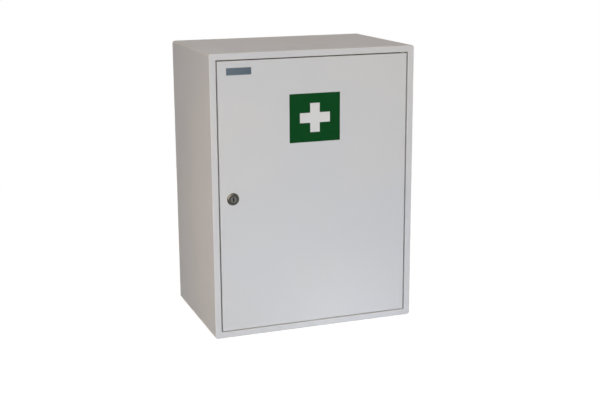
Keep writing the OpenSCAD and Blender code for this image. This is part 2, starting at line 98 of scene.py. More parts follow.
class Mark(Enum):
    """Outputs of the shared effects, as the finishes read them."""

    PEEL = (Effect.ORANGE_PEEL, "Height")
    SPECKLE = (Effect.ORANGE_PEEL, "Speckle")
    WAVE = (Effect.PANEL_WAVE, "Height")
    DRIFT = (Effect.PANEL_WAVE, "Shade")
    EDGE = (Effect.EDGE_FILM, "Mask")
    DUST = (Effect.SETTLED_DUST, "Mask")
    GRAIN = (Effect.BRUSHED_GRAIN, "Height")
    STREAK = (Effect.BRUSHED_GRAIN, "Shade")
    GROOVE = (Effect.TURNED_RINGS, "Height")
    RING = (Effect.TURNED_RINGS, "Shade")
    BLOOM = (Effect.PLATING_BLOOM, "Shade")
    CLOUD = (Effect.PLATING_BLOOM, "Tint")
    SMUDGE = (Effect.HANDLING_MARKS, "Smudge")
    SCRATCH = (Effect.HANDLING_MARKS, "Scratch")


def display_colour(shade: Shade) -> Colour:
    """Linear colour of three 8-bit display values.

    Args:
        shade: Red, green and blue, 0 to 255.

    Returns:
        The linear colour with full alpha.
    """
    shares = [value / 255 for value in shade]
    linear = [share / 12.92 if share <= 0.04045 else ((share + 0.055) / 1.055) ** 2.4 for share in shares]
    return linear[0], linear[1], linear[2], 1.0


def millimetres(x: float, y: float, z: float) -> Point:
    """Point in metres from millimetres."""
    return x * MM, y * MM, z * MM


def new_object(name: str, data: Any) -> Piece:
    """Makes an object and links it to the scene.

    Args:
        name: The object's name.
        data: Its mesh, lamp or camera.

    Returns:
        The object.
    """
    thing = bpy.data.objects.new(name, data)
    bpy.context.scene.collection.objects.link(thing)
    return thing


class NodeBoard:
    """Adds, sets and joins the nodes of a tree."""

    def __init__(self, tree: bpy.types.NodeTree) -> None:
        """Keeps the tree that the nodes go into."""
        self.tree = tree

    def add(self, kind: str, inputs: dict[str | int, Any] | None = None, **settings: Any) -> bpy.types.Node:
        """Adds one node.

        Args:
            kind: Blender's name for the type of node.
            inputs: Values or sockets for the node's inputs, by name or index.
            **settings: Properties of the node.

        Returns:
            The new node.
        """
        node = self.tree.nodes.new(kind)
        for key, value in settings.items():
            setattr(node, key, value)
        for key, value in (inputs or {}).items():
            self.feed(node.inputs[key], value)
        return node

    def out(self, kind: str, inputs: Any = None, output: str | int = 0, **settings: Any) -> Socket:
        """Adds one node and gives one of its outputs."""
        return self.add(kind, inputs, **settings).outputs[output]

    def feed(self, socket: Socket, value: Any) -> None:
        """Links a socket to an input, or sets the input's own value.

        Args:
            socket: The input.
            value: A socket to link, or a plain value.
        """
        if isinstance(value, Socket):
            self.tree.links.new(value, socket)
        else:
            socket.default_value = value

    def offer(self, name: str, side: str, kind: str) -> Any:
        """Adds a named socket to the tree's own inputs or outputs."""
        return self.tree.interface.new_socket(name=name, in_out=side, socket_type=kind)

    def math(self, operation: str, *terms: Any) -> Socket:
        """One step of arithmetic on numbers."""
        return self.out("ShaderNodeMath", dict(enumerate(terms)), operation=operation)

    def times(self, first: Any, second: Any) -> Socket:
        """Product of two numbers."""
        return self.math("MULTIPLY", first, second)

    def times_plus(self, first: Any, second: Any, rest: Any) -> Socket:
        """Product of two numbers, with a third added to it."""
        return self.math("MULTIPLY_ADD", first, second, rest)

    def vector(self, operation: str, *terms: Any) -> Socket:
        """One step of arithmetic on vectors."""
        return self.out("ShaderNodeVectorMath", dict(enumerate(terms)), operation=operation)

    def length(self, vector: Any) -> Socket:
        """Length of a vector."""
        return self.out("ShaderNodeVectorMath", {0: vector}, "Value", operation="LENGTH")

    def joined(self, **parts: Any) -> Socket:
        """Vector of the parts X, Y and Z."""
        return self.out("ShaderNodeCombineXYZ", parts)

    def parts(self, vector: Any) -> Any:
        """The parts X, Y and Z of a vector, by name."""
        return self.add("ShaderNodeSeparateXYZ", {0: vector}).outputs

    def span(self, value: Any, low: float, high: float, to_low: float, to_high: float) -> Socket:
        """Maps a number from one range onto another, with clamping."""
        values = {"Value": value, "From Min": low, "From Max": high, "To Min": to_low, "To Max": to_high}
        return self.out("ShaderNodeMapRange", values)

    def tint(self, share: Any, first: Any, second: Any) -> Socket:
        """Mixes two colours by the share of the second."""
        return self.out("ShaderNodeMix", {0: share, 6: first, 7: second}, 2, data_type="RGBA")

    def noise(self, place: Any, scale: Any, detail: float = 2.0, roughness: float = 0.5) -> Socket:
        """Noise between 0 and 1, with so many patches to the metre."""
        values = {"Vector": place, "Scale": scale, "Detail": detail, "Roughness": roughness}
        return self.out("ShaderNodeTexNoise", values)


class EffectTree(NodeBoard):
    """Shader node group of one shared effect, whose inputs are coordinates and one number."""

    NUMBERS = {Effect.EDGE_FILM: "Breaks", Effect.SETTLED_DUST: "Amount", Effect.TURNED_RINGS: "Rings"}

    def __init__(self, effect: Effect) -> None:
        """Builds the group.

        Args:
            effect: The effect that the group makes.
        """
        super().__init__(bpy.data.node_groups.new(effect.value, "ShaderNodeTree"))
        self.offer("Vector", "INPUT", "NodeSocketVector")
        self.offer(self.NUMBERS.get(effect, "Scale"), "INPUT", "NodeSocketFloat")
        for mark in Mark:
            if mark.value[0] is effect:
                self.offer(mark.value[1], "OUTPUT", "NodeSocketFloat")
        self.place, self.number = self.add("NodeGroupInput").outputs[:2]
        self.add("NodeGroupOutput", getattr(self, effect.value)())

    @classmethod
    def group(cls, effect: Effect) -> bpy.types.NodeTree:
        """The effect's node group, built at the first call."""
        return bpy.data.node_groups.get(effect.value) or cls(effect).tree

    def orange_peel(self) -> dict[str, Socket]:
        """Fine dimples of sprayed and baked powder.

        Returns:
            The group's outputs, by name.
        """
        coarse = self.noise(self.place, self.number, 1.5, 0.45)
        fine = self.noise(self.place, self.times(self.number, 3.1), 1.0)
        return {"Height": self.times_plus(fine, 0.25, self.times(coarse, 0.75)), "Speckle": fine}

    def panel_wave(self) -> dict[str, Socket]:
        """Slow waves of a large sheet, and the slow drift of its shade.

        Returns:
            The group's outputs, by name.
        """
        aside = self.vector("ADD", self.place, (3.7, 1.9, 5.3))
        height = self.noise(self.place, self.number, 1.0, 0.4)
        return {"Height": height, "Shade": self.noise(aside, self.number)}

    def edge_film(self) -> dict[str, Socket]:
        """Mask of bends and edges, where a coat pulls back or wears; the powder coat lightens them by it,
        partly as a painted highlight.

        Returns:
            The group's outputs, by name.
        """
        edge = self.out("ShaderNodeAttribute", output="Fac", attribute_name="edge")
        loss = self.times(self.noise(self.place, 160.0), self.number)
        return {"Mask": self.times(edge, self.math("SUBTRACT", 1.0, loss))}

    def settled_dust(self) -> dict[str, Socket]:
        """Mask of faint dust on faces that look up.

        Returns:
            The group's outputs, by name.
        """
        upward = self.parts(self.out("ShaderNodeNewGeometry", output="Normal"))["Z"]
        lying = self.span(upward, 0.6, 1.0, 0.0, 1.0)
        patches = self.span(self.noise(self.place, 34.0, 5.0, 0.6), 0.35, 0.75, 0.35, 1.0)
        return {"Mask": self.times(self.times(lying, patches), self.number)}

    def brushed_grain(self) -> dict[str, Socket]:
        """Hairline grain; the coordinates come stretched along it."""
        height = self.noise(self.place, self.number, 3.0, 0.65)
        return {"Height": height, "Shade": self.noise(self.place, self.times(self.number, 0.37))}

    def turned_rings(self) -> dict[str, Socket]:
        """Fine rings that a lathe leaves round the Y axis of the coordinates.

        Returns:
            The group's outputs, by name.
        """
        reach = self.length(self.vector("MULTIPLY", self.place, (1.0, 0.0, 1.0)))
        line = self.joined(X=self.times(reach, self.number))
        return {"Height": self.noise(line, 1.0, 2.0, 0.6), "Shade": self.noise(line, 0.31, 1.0)}

    def plating_bloom(self) -> dict[str, Socket]:
        """Cloudy patches of plated and passivated steel.

        Returns:
            The group's outputs, by name.
        """
        spots = {"Vector": self.place, "Scale": self.number}
        cells = self.out("ShaderNodeTexVoronoi", spots, "Distance", feature="SMOOTH_F1")
        cloud = self.noise(self.place, self.times(self.number, 0.4), 4.0, 0.6)
        shade = self.times_plus(cells, 0.5, self.times(cloud, 0.5))
        return {"Shade": shade, "Tint": self.noise(self.place, self.times(self.number, 0.15))}

    def handling_marks(self) -> dict[str, Socket]:
        """Smudges and hairline scratches of use.

        Returns:
            The group's outputs, by name.
        """
        smudge = self.span(self.noise(self.place, self.number, 4.0, 0.6), 0.45, 0.75, 0.0, 1.0)
        drawn = self.vector("MULTIPLY", self.place, (1.0, 1.0, 14.0))
        line = self.noise(drawn, self.times(self.number, 9.0), 2.0, 0.7)
        return {"Smudge": smudge, "Scratch": self.span(line, 0.7, 0.8, 0.0, 1.0)}


@dataclass(frozen=True)
class Layers:
    """What a finish lays over its base colour.

    Attributes:
        effects: The shared effects, each with its number.
        tints: Marks, each with the range that counts, the most that its colour takes, and the colour.
        wear: Marks, each with what it adds to the roughness.
        relief: Marks, each with its depth in millimetres.
        metallic: Metallic value.
        gleam: Specular level.
        stretch: Factor along each axis for grain and rings.
        centre: Point, in metres, that grain and rings are laid from.
    """

    effects: dict[Effect, float]
    tints: tuple[tuple[Mark, float, float, float, Shade], ...]
    wear: tuple[tuple[Mark, float], ...]
    relief: tuple[tuple[Mark, float], ...]
    metallic: float = 0.0
    gleam: float = 0.5
    stretch: Triple = (1.0, 1.0, 1.0)
    centre: Point = (0.0, 0.0, 0.0)

    def outputs(self, board: NodeBoard) -> dict[Effect, Any]:
        """Puts the shared effects into a material.

        Args:
            board: The material's tree.

        Returns:
            The outputs of each effect.
        """
        place = board.out("ShaderNodeTexCoord", output="Object")
        found = {}
        for effect, number in self.effects.items():
            given = {0: place, 1: number}
            if effect in (Effect.BRUSHED_GRAIN, Effect.TURNED_RINGS):
                moved = board.vector("SUBTRACT", place, self.centre)
                given[0] = board.vector("MULTIPLY", moved, self.stretch)
            node = board.add("ShaderNodeGroup", given, node_tree=EffectTree.group(effect))
            found[effect] = node.outputs
        return found


class Finish:
    """Base of the finishes: builds its material once, from its layers."""

    name: str
    word: str
    slot: Slot
    colour: Shade
    roughness: float

    def layers(self) -> Layers:
        """What the finish lays over its base colour."""
        raise NotImplementedError

    def material(self) -> bpy.types.Material:
        """The finish's material, built at the first call."""
        return bpy.data.materials.get(self.name) or self.build()

    def build(self) -> bpy.types.Material:
        """Builds the material.

        Returns:
            The new material.
        """
        layers = self.layers()
        material = bpy.data.materials.new(self.name)
        material.use_nodes = True
        board = NodeBoard(material.node_tree)
        board.tree.nodes.clear()
        shader = board.add("ShaderNodeBsdfPrincipled")
        board.add("ShaderNodeOutputMaterial", {"Surface": shader.outputs[0]})
        outputs = layers.outputs(board)

        def read(mark: Mark) -> Socket:
            """The socket of one mark."""
            effect, name = mark.value
            return outputs[effect][name]

        base: Any = display_colour(self.colour)
        for mark, low, high, most, colour in layers.tints:
            base = board.tint(board.span(read(mark), low, high, 0.0, most), base, display_colour(colour))
        rough: Any = self.roughness
        for mark, change in layers.wear:
            rough = board.times_plus(read(mark), change, rough)
        bump: dict[str, Any] = {"Strength": 1.0}
        for mark, depth in layers.relief:
            bump |= {"Height": read(mark), "Distance": depth * MM}
            bump["Normal"] = board.out("ShaderNodeBump", bump)
        values = {"Base Color": base, "Roughness": rough, "Normal": bump["Normal"]}
        values |= {"Metallic": layers.metallic, "Specular IOR Level": layers.gleam}
        for name, value in values.items():
            board.feed(shader.inputs[name], value)
        return material


@dataclass(frozen=True)
class PowderCoat(Finish):
    """Baked powder on steel sheet, pale grey, satin, with a fine orange peel."""

    name: str = "powder_coat"
    word: str = "painted"
    slot: Slot = Slot.PAINT
    colour: Shade = (205, 204, 203)
    cool: Shade = (201, 202, 205)
    # Lighter tint of bends and edges: partly a pulled-back coat, partly a painted highlight where the bends
    # catch light
    thin_coat_and_highlight: Shade = (216, 213, 207)
    dust: Shade = (192, 187, 179)
    roughness: float = 0.50

    def layers(self) -> Layers:
        """Drift of shade, specks, pulled-back coat and painted highlight on edges, dust and smudges."""
        return Layers(
            effects={
                Effect.ORANGE_PEEL: 620.0,
                Effect.PANEL_WAVE: 4.2,
                Effect.EDGE_FILM: 0.3,
                Effect.SETTLED_DUST: 0.35,
                Effect.HANDLING_MARKS: 9.0,
            },
            tints=(
                (Mark.DRIFT, 0.3, 0.7, 1.0, self.cool),
                (Mark.SPECKLE, 0.25, 0.75, 0.05, self.dust),
                (Mark.EDGE, 0.0, 1.0, 1.0, self.thin_coat_and_highlight),
                (Mark.DUST, 0.0, 1.0, 1.0, self.dust),
            ),
            wear=((Mark.SMUDGE, -0.05), (Mark.DUST, 0.18), (Mark.EDGE, -0.10)),
            relief=((Mark.WAVE, 0.35), (Mark.PEEL, 0.035)),
            gleam=0.30,
        )


@dataclass(frozen=True)
class ZincPlate(Finish):
    """Bright zinc on steel: hinges, clips, nut, cam and screws."""

    name: str = "zinc_plate"
    word: str = "plated"
    slot: Slot = Slot.ZINC
    colour: Shade = (186, 190, 194)
    warm: Shade = (190, 184, 168)
    dark: Shade = (140, 144, 148)
    roughness: float = 0.24

    def layers(self) -> Layers:
        """Cloudy bloom, worn edges, level grain, smudges and scratches."""
        return Layers(
            effects={
                Effect.PLATING_BLOOM: 150.0,
                Effect.HANDLING_MARKS: 60.0,
                Effect.EDGE_FILM: 0.2,
                Effect.BRUSHED_GRAIN: 1.0,
            },
            tints=(
                (Mark.BLOOM, 0.2, 0.7, 0.55, self.dark),
                (Mark.CLOUD, 0.45, 0.75, 0.4, self.warm),
                (Mark.EDGE, 0.0, 1.0, 0.5, self.colour),
            ),
            wear=((Mark.BLOOM, 0.18), (Mark.SMUDGE, 0.08)),
            relief=((Mark.GRAIN, 0.012), (Mark.SCRATCH, 0.006)),
            metallic=1.0,
            stretch=(900.0, 900.0, 5200.0),
        )


@dataclass(frozen=True)
class LockNickel(Finish):
    """Nickel on the lock's die-cast and turned pieces, in copies lightened or darkened as painted highlight,
    reflection or shade.
    """

    name: str
    colour: Shade
    shadow: Shade
    roughness: float
    word: str = "plated"
    slot: Slot = Slot.NICKEL
    rings: float = 0.010

    def layers(self) -> Layers:
        """Lathe rings, bloom, smudges and scratches."""
        return Layers(
            effects={Effect.TURNED_RINGS: 9000.0, Effect.PLATING_BLOOM: 420.0, Effect.HANDLING_MARKS: 150.0},
            tints=((Mark.RING, 0.3, 0.7, 0.6, self.shadow), (Mark.BLOOM, 0.25, 0.7, 0.5, self.shadow)),
            wear=((Mark.SMUDGE, 0.10),),
            relief=((Mark.GROOVE, self.rings), (Mark.SCRATCH, 0.008)),
            metallic=1.0,
            centre=millimetres(LOCK_AXIS[0], 0.0, LOCK_AXIS[1]),
        )


@dataclass(frozen=True)
class VinylFilm(Finish):
    """Cut sign film on the painted door."""

    name: str
    slot: Slot
    colour: Shade
    faded: Shade
    gleam: float
    word: str = "film"
    roughness: float = 0.36

    def layers(self) -> Layers:
        """Drift of shade, faded edges and smudges."""
        return Layers(
            effects={
                Effect.ORANGE_PEEL: 620.0,
                Effect.PANEL_WAVE: 16.0,
                Effect.HANDLING_MARKS: 30.0,
                Effect.EDGE_FILM: 0.5,
            },
            tints=((Mark.DRIFT, 0.35, 0.7, 0.35, self.faded), (Mark.EDGE, 0.0, 1.0, 0.4, self.faded)),
            wear=((Mark.SMUDGE, 0.10),),
            relief=((Mark.WAVE, 0.04), (Mark.PEEL, 0.012)),
            gleam=self.gleam,
        )


@dataclass(frozen=True)
class PlateMetal(Finish):
    """Brushed aluminium of the bare name plate."""

    name: str
    colour: Shade
    shadow: Shade
    roughness: float
    word: str = "brushed"
    slot: Slot = Slot.PLATE

    def layers(self) -> Layers:
        """Level grain, drift of shade, smudges and scratches."""
        return Layers(
            effects={Effect.BRUSHED_GRAIN: 1.0, Effect.PANEL_WAVE: 38.0, Effect.HANDLING_MARKS: 80.0},
            tints=((Mark.STREAK, 0.3, 0.7, 0.5, self.shadow), (Mark.DRIFT, 0.35, 0.7, 0.6, self.shadow)),
            wear=((Mark.GRAIN, 0.12), (Mark.SMUDGE, 0.06)),
            relief=((Mark.GRAIN, 0.008), (Mark.SCRATCH, 0.004)),
            metallic=0.85,
            stretch=(60.0, 4200.0, 4200.0),
        )


@dataclass(frozen=True)
class Moulding(Finish):
    """Moulded nylon or rubber."""

    name: str
    slot: Slot
    colour: Shade
    worn: Shade
    roughness: float
    word: str = "moulded"

    def layers(self) -> Layers:
        """Mottled skin, worn edges and smudges."""
        return Layers(
            effects={Effect.ORANGE_PEEL: 2400.0, Effect.EDGE_FILM: 0.4, Effect.HANDLING_MARKS: 90.0},
            tints=((Mark.SPECKLE, 0.3, 0.7, 0.3, self.worn), (Mark.EDGE, 0.0, 1.0, 0.5, self.worn)),
            wear=((Mark.SMUDGE, 0.12),),
            relief=((Mark.PEEL, 0.02),),
            gleam=0.3,
        )


PAINT = PowderCoat()
ZINC = ZincPlate()
# Head's bevel and back face: nickel darkened as a painted reflection of dark surroundings
BEVEL_REFLECTION_NICKEL = LockNickel("bevel_nickel_painted_dark_reflection", (92, 88, 80), (74, 71, 65), 0.30, rings=0.004)
# Head's outer wall and rim: nickel lightened to beige, a painted highlight of the light from the upper left
WALL_HIGHLIGHT_NICKEL = LockNickel("wall_nickel_painted_highlight", (206, 199, 184), (168, 162, 150), 0.28)
# Plug: nickel darkened as a painted reflection of dark surroundings
PLUG_REFLECTION_NICKEL = LockNickel("plug_nickel_painted_dark_reflection", (118, 119, 117), (92, 92, 88), 0.34)
# Mouth and bore round the plug: nickel darkened as painted shade in the gap
BORE_SHADE_NICKEL = LockNickel("bore_nickel_painted_shade", (70, 69, 62), (52, 51, 47), 0.38)
# Head's flat face: nickel darkened as a painted reflection of dark surroundings
FACE_REFLECTION_NICKEL = LockNickel("face_nickel_painted_dark_reflection", (84, 82, 76), (66, 64, 59), 0.36)
BARREL_NICKEL = LockNickel("barrel_nickel", (168, 166, 160), (120, 118, 113), 0.36)
# Deep faces of the key slot: near-black painted shade
KEYWAY_SHADE_NICKEL = LockNickel("keyway_nickel_painted_shade", (14, 14, 15), (10, 10, 10), 0.50)
# Wafers: brass darkened as painted shade deep in the key slot
SHADED_BRASS = LockNickel("wafer_brass_painted_shade", (96, 76, 44), (62, 48, 28), 0.42)
GREEN_FILM = VinylFilm("green_film", Slot.SIGN_GREEN, (2, 64, 24), (6, 69, 29), 0.06)
WHITE_FILM = VinylFilm("white_film", Slot.SIGN_WHITE, (212, 212, 212), (206, 206, 205), 0.30)
PLATE_FIELD = PlateMetal("plate_field", (92, 103, 111), (74, 84, 94), 0.36)
PLATE_RIM = PlateMetal("plate_rim", (112, 122, 129), (94, 103, 110), 0.30)
NYLON = Moulding("nylon", Slot.NYLON, (150, 148, 140), (136, 133, 124), 0.50)
RUBBER = Moulding("rubber", Slot.RUBBER, (34, 34, 35), (52, 52, 52), 0.62)


class MeshKit:
    """Turns drawn shapes and copies of CAD nodes into finished piece meshes."""

    # Distances below which points become one, in a CAD node's copy and in a drawn ring, in metres
    MERGE = 2e-6
    RING_MERGE = 1e-8
    FLAT = math.radians(0.4)
    HARD = math.radians(32.0)
    # Least and greatest turn between faces that counts as a bend
    BEND = (math.radians(3), math.radians(62))
    # Widths below which a face is an edge, each with its share of the film
    EDGE_SHARES = ((0.5 * MM, 0.55), (2.2 * MM, 1.0))

    @staticmethod
    def new_piece(name: str, mesh: bpy.types.Mesh, finishes: Sequence[Finish]) -> Piece:
        """Makes an object of a mesh and gives it its materials.

        Args:
            name: The object's name.
            mesh: Its mesh, in the shared frame.
            finishes: Finishes for the mesh's material indices.

        Returns:
            The object, linked to the scene.
        """
        piece = new_object(name, mesh)
        for finish in finishes:
            mesh.materials.append(finish.material())
        return piece

    @classmethod
    def from_shape(cls, shape: Shape, name: str, finishes: Sequence[Finish] = ()) -> Piece:
        """Makes an object of a shape.

        Args:
            shape: The shape; it is freed.
            name: The object's name.
            finishes: Finishes for the shape's material indices.

        Returns:
            The object, linked to the scene.
        """
        mesh = bpy.data.meshes.new(name)
        shape.to_mesh(mesh)
        shape.free()
        return cls.new_piece(name, mesh, finishes)

    @staticmethod
    def gather(*pieces: Piece) -> Shape:
        """Takes the meshes of pieces into one shape.

        Args:
            *pieces: The pieces; they are removed.

        Returns:
            The shape.
        """
        shape = bmesh.new()
        for piece in pieces:
            shape.from_mesh(piece.data)
            bpy.data.objects.remove(piece)
        return shape

    @staticmethod
    def bake_modifiers(piece: Piece) -> None:
        """Replaces a piece's mesh by its evaluated one and removes the modifiers.

        Args:
            piece: The piece.
        """
        bpy.context.view_layer.update()
        graph = bpy.context.evaluated_depsgraph_get()
        source = piece.evaluated_get(graph)
        mesh = bpy.data.meshes.new_from_object(source, preserve_all_data_layers=True, depsgraph=graph)
        piece.modifiers.clear()
        piece.data = mesh

    @classmethod
    def tag_edges(cls, shape: Shape) -> None:
        """Writes each face's share of bend or edge into the attribute that the finishes read.

        Args:
            shape: The shape.
        """
        layer = shape.faces.layers.float.get("edge") or shape.faces.layers.float.new("edge")
        for face in shape.faces:
            longest = max(edge.calc_length() for edge in face.edges)
            width = face.calc_area() / max(longest, 1e-9)
            turns = [edge.calc_face_angle(0.0) for edge in face.edges if len(edge.link_faces) == 2]
            turned = any(cls.BEND[0] < turn < cls.BEND[1] for turn in turns)
            x, y, z = (abs(part) for part in face.normal)
            slant = 2 * max(x * y, y * z, z * x)
            share = next((share for limit, share in cls.EDGE_SHARES if width < limit), 0.0)
            face[layer] = share * slant if turned else 0.0

    @classmethod
    def node_copy(cls, node: str, finish: Finish, radius: float) -> Piece:
        """A clean copy of a CAD node with rounded edges and smooth bends.

        Args:
            node: The CAD node's name.
            finish: The copy's finish.
            radius: Rounding of its sharp edges, in millimetres.

        Returns:
            The copy.
        """
        shape = bmesh.new()
        shape.from_mesh(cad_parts[node].data)
        bmesh.ops.remove_doubles(shape, verts=shape.verts, dist=cls.MERGE)
        bmesh.ops.dissolve_limit(shape, angle_limit=cls.FLAT, verts=shape.verts, edges=shape.edges)
        return cls.finish_shape(shape, f"{node}_{finish.word}", [finish], radius)

    @classmethod
    def finish_shape(
        cls, shape: Shape, name: str, finishes: Sequence[Finish], radius: float = 0.0, segments: int = 2
    ) -> Piece:
        """Rounds, tags and shades a solid, and makes a piece of it, with flat faces kept flat.

        Args:
            shape: The solid; it is freed.
            name: The piece's name.
            finishes: Finishes for the solid's material indices.
            radius: Rounding of its sharp edges, in millimetres; 0 leaves them sharp.
            segments: Faces across each rounding.

        Returns:
            The piece.
        """
        if radius > 0:
            joins = [edge for edge in shape.edges if len(edge.link_faces) == 2]
            hard = [edge for edge in joins if edge.calc_face_angle(0.0) > cls.HARD]
            options = {"profile": 0.5, "affect": "EDGES", "clamp_overlap": True, "loop_slide": True}
            options |= {"offset": radius * MM, "offset_type": "OFFSET", "segments": segments}
            bmesh.ops.bevel(shape, geom=hard, **options)
        cls.tag_edges(shape)
        piece = cls.from_shape(shape, name, finishes)
        for polygon in piece.data.polygons:
            polygon.use_smooth = True
        weigh = piece.modifiers.new("weigh", "WEIGHTED_NORMAL")
        weigh.mode, weigh.keep_sharp = "FACE_AREA", True
        cls.bake_modifiers(piece)
        return piece

    @staticmethod
    def loft(rings: Sequence[Sequence[Point]], bands: Sequence[int], closed: bool) -> Shape:
        """A solid through rings of equally many points.

        Args:
            rings: The rings, in order.
            bands: Material index of each band between two rings.
            closed: True joins the last ring to the first; otherwise both ends get a face.

        Returns:
            The solid, with its faces pointing outwards.
        """
        shape = bmesh.new()
        loops = [[shape.verts.new(point) for point in ring] for ring in rings]
        pairs = list(zip(loops, loops[1:])) + ([(loops[-1], loops[0])] if closed else [])
        for index, (near, far) in enumerate(pairs):
            for k, corner in enumerate(near):
                after = (k + 1) % len(near)
                face = shape.faces.new((corner, near[after], far[after], far[k]))
                face.material_index = bands[index % len(bands)]
        if not closed:
            shape.faces.new(list(reversed(loops[0]))).material_index = bands[0]
            shape.faces.new(loops[-1]).material_index = bands[-1]
        bmesh.ops.remove_doubles(shape, verts=shape.verts, dist=MeshKit.RING_MERGE)
        bmesh.ops.recalc_face_normals(shape, faces=shape.faces)
        return shape


def hand_over(piece: Piece, body: Body, finish: Finish, *nodes: str) -> None:
    """Puts a finished piece on its body, in place of CAD nodes.

    Args:
        piece: The piece.
        body: The body that it rides on.
        finish: The piece's finish; not used.
        *nodes: CAD nodes that it stands for.
    """
    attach(piece, body.value)
    if nodes:
        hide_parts(*nodes)
    LOG.info("%s: %d faces on %s", piece.name, len(piece.data.polygons), body.value)


def dress(node: str, finish: Finish, rounding: float, body: Body) -> None:
    """Puts a rounded and finished copy in place of a CAD node."""
    hand_over(MeshKit.node_copy(node, finish, rounding), body, finish, node)


class GeometryTree(NodeBoard):
    """A geometry node tree with named inputs, and its result as a plain mesh."""

    KINDS = {float: "NodeSocketFloat", int: "NodeSocketInt", tuple: "NodeSocketVector"}

    def __init__(self, name: str, inputs: dict[str, Any]) -> None:
        """Starts the tree.

        Args:
            name: The tree's name.
            inputs: Names and usual values of its inputs.
        """
        super().__init__(bpy.data.node_groups.new(name, "GeometryNodeTree"))
        self.tree.is_modifier = True
        for label, usual in inputs.items():
            self.offer(label, "INPUT", self.KINDS[type(usual)]).default_value = usual
        self.offer("Material", "INPUT", "NodeSocketMaterial")
        self.offer("Geometry", "OUTPUT", "NodeSocketGeometry")
        self.given = self.add("NodeGroupInput").outputs

    def close(self, geometry: Socket) -> None:
        """Ends the tree in real geometry with its material.

        Args:
            geometry: What the tree has made.
        """
        real = self.out("GeometryNodeRealizeInstances", {"Geometry": geometry})
        coated = {"Geometry": real, "Material": self.given["Material"]}
        self.add("NodeGroupOutput", {"Geometry": self.out("GeometryNodeSetMaterial", coated)})

    def run(self, name: str, finish: Finish, values: dict[str, Any]) -> Piece:
        """Makes a piece with the tree.

        Args:
            name: The piece's name.
            finish: Its finish.
            values: Values for the tree's inputs.

        Returns:
            The piece, as a plain mesh without the modifier.
        """
        piece = MeshKit.new_piece(name, bpy.data.meshes.new(name), [finish])
        modifier = piece.modifiers.new(self.tree.name, "NODES")
        modifier.node_group = self.tree
        items = self.tree.interface.items_tree
        sockets = {item.name: item.identifier for item in items if item.in_out == "INPUT"}
        for label, value in (values | {"Material": finish.material()}).items():
            modifier[sockets[label]] = value
        MeshKit.bake_modifiers(piece)
        piece.data.materials.clear()
        piece.data.materials.append(finish.material())
        return piece


class RowTree(GeometryTree):
    """Equal shapes in a straight row, turned to face one way."""

    def __init__(self, name: str, sizes: dict[str, Any]) -> None:
        """Builds the tree.

        Args:
            name: The tree's name.
            sizes: Names and usual values of the shape's inputs.
        """
        super().__init__(name, self.row((0.0, 0.0, 0.0), (0.0, 0.0, 100.0), 2) | sizes)
        given = self.given
        line = {"Count": given["Count"], "Start Location": given["Start"], "Offset": given["End"]}
        places = {"Points": self.out("GeometryNodeMeshLine", line, mode="END_POINTS")}
        places["Instance"] = self.shape()
        places["Rotation"] = self.out("FunctionNodeEulerToRotation", {0: given["Turn"]})
        self.close(self.out("GeometryNodeInstanceOnPoints", places))

    @staticmethod
    def row(
        start: Point, end: Point, count: int, turn: Triple = (0.0, 0.0, 0.0), **sizes: Any
    ) -> dict[str, Any]:
        """Values for one row, with its ends given in millimetres and its turn in radians."""
        return {"Start": millimetres(*start), "End": millimetres(*end), "Count": count, "Turn": turn} | sizes

    def rows(self, finish: Finish, rows: Iterable[dict[str, Any]]) -> Shape:
        """One shape of several rows."""
        return MeshKit.gather(*[self.run(self.tree.name, finish, values) for values in rows])

    def build(self, name: str, body: Body, finish: Finish, rows: Iterable[dict[str, Any]]) -> None:
        """Builds small shapes that stand for no CAD node, with flat faces, as one piece.

        Args:
            name: The piece's name.
            body: The body that it rides on.
            finish: Its finish.
            rows: Values for its rows.
        """
        shape = self.rows(finish, rows)
        MeshKit.tag_edges(shape)
        hand_over(MeshKit.from_shape(shape, name, [finish]), body, finish)

    def shape(self) -> Socket:
        """The geometry that repeats, lying face up on the XY plane."""
        raise NotImplementedError


class SpotWeldRow(RowTree):
    """Spot welds: a low pressed ring round a shallow dish."""

    SIDES = 16
    # Each narrowing as a share of the size before it: to the ring's top, its inner edge and the dish's floor
    TO_TOP, TO_INNER, TO_FLOOR = 0.82, 0.84, 0.86

    def __init__(self) -> None:
        """Names the weld's sizes."""
        super().__init__("spot_weld_row", {"Radius": 2.6 * MM, "Rise": 0.08 * MM, "Dish": 0.05 * MM})

    def pressed(self, mesh: Socket, face: Socket, offset: Any, scale: float) -> list[Socket]:
        """Moves a face along its normal and narrows it.

        Args:
            mesh: The mesh.
            face: Mask of the face.
            offset: How far it moves.
            scale: Factor that narrows it.

        Returns:
            The new mesh, and the mask of the moved face.
        """
        moved = {"Mesh": mesh, "Selection": face, "Offset Scale": offset, "Individual": False}
        drawn = self.add("GeometryNodeExtrudeMesh", moved, mode="FACES").outputs
        narrowed = {"Geometry": drawn["Mesh"], "Selection": drawn["Top"], "Scale": scale}
        return [self.out("GeometryNodeScaleElements", narrowed), drawn["Top"]]

    def shape(self) -> Socket:
        """One weld.

        Returns:
            Its geometry.
        """
        radius, rise, dish = (self.given[name] for name in ("Radius", "Rise", "Dish"))
        top = self.times(radius, self.TO_TOP)
        sizes = {"Vertices": self.SIDES, "Radius Top": top, "Radius Bottom": radius}
        sizes["Depth"] = self.times(rise, 2.0)
        disc = self.add("GeometryNodeMeshCone", sizes, fill_type="NGON").outputs
        down = self.joined(Z=self.times(rise, -1.0))
        sunk = self.out("GeometryNodeTransform", {"Geometry": disc["Mesh"], "Translation": down})
        ring = self.pressed(sunk, disc["Top"], 0.0, self.TO_INNER)
        return self.pressed(*ring, self.times(dish, -1.0), self.TO_FLOOR)[0]


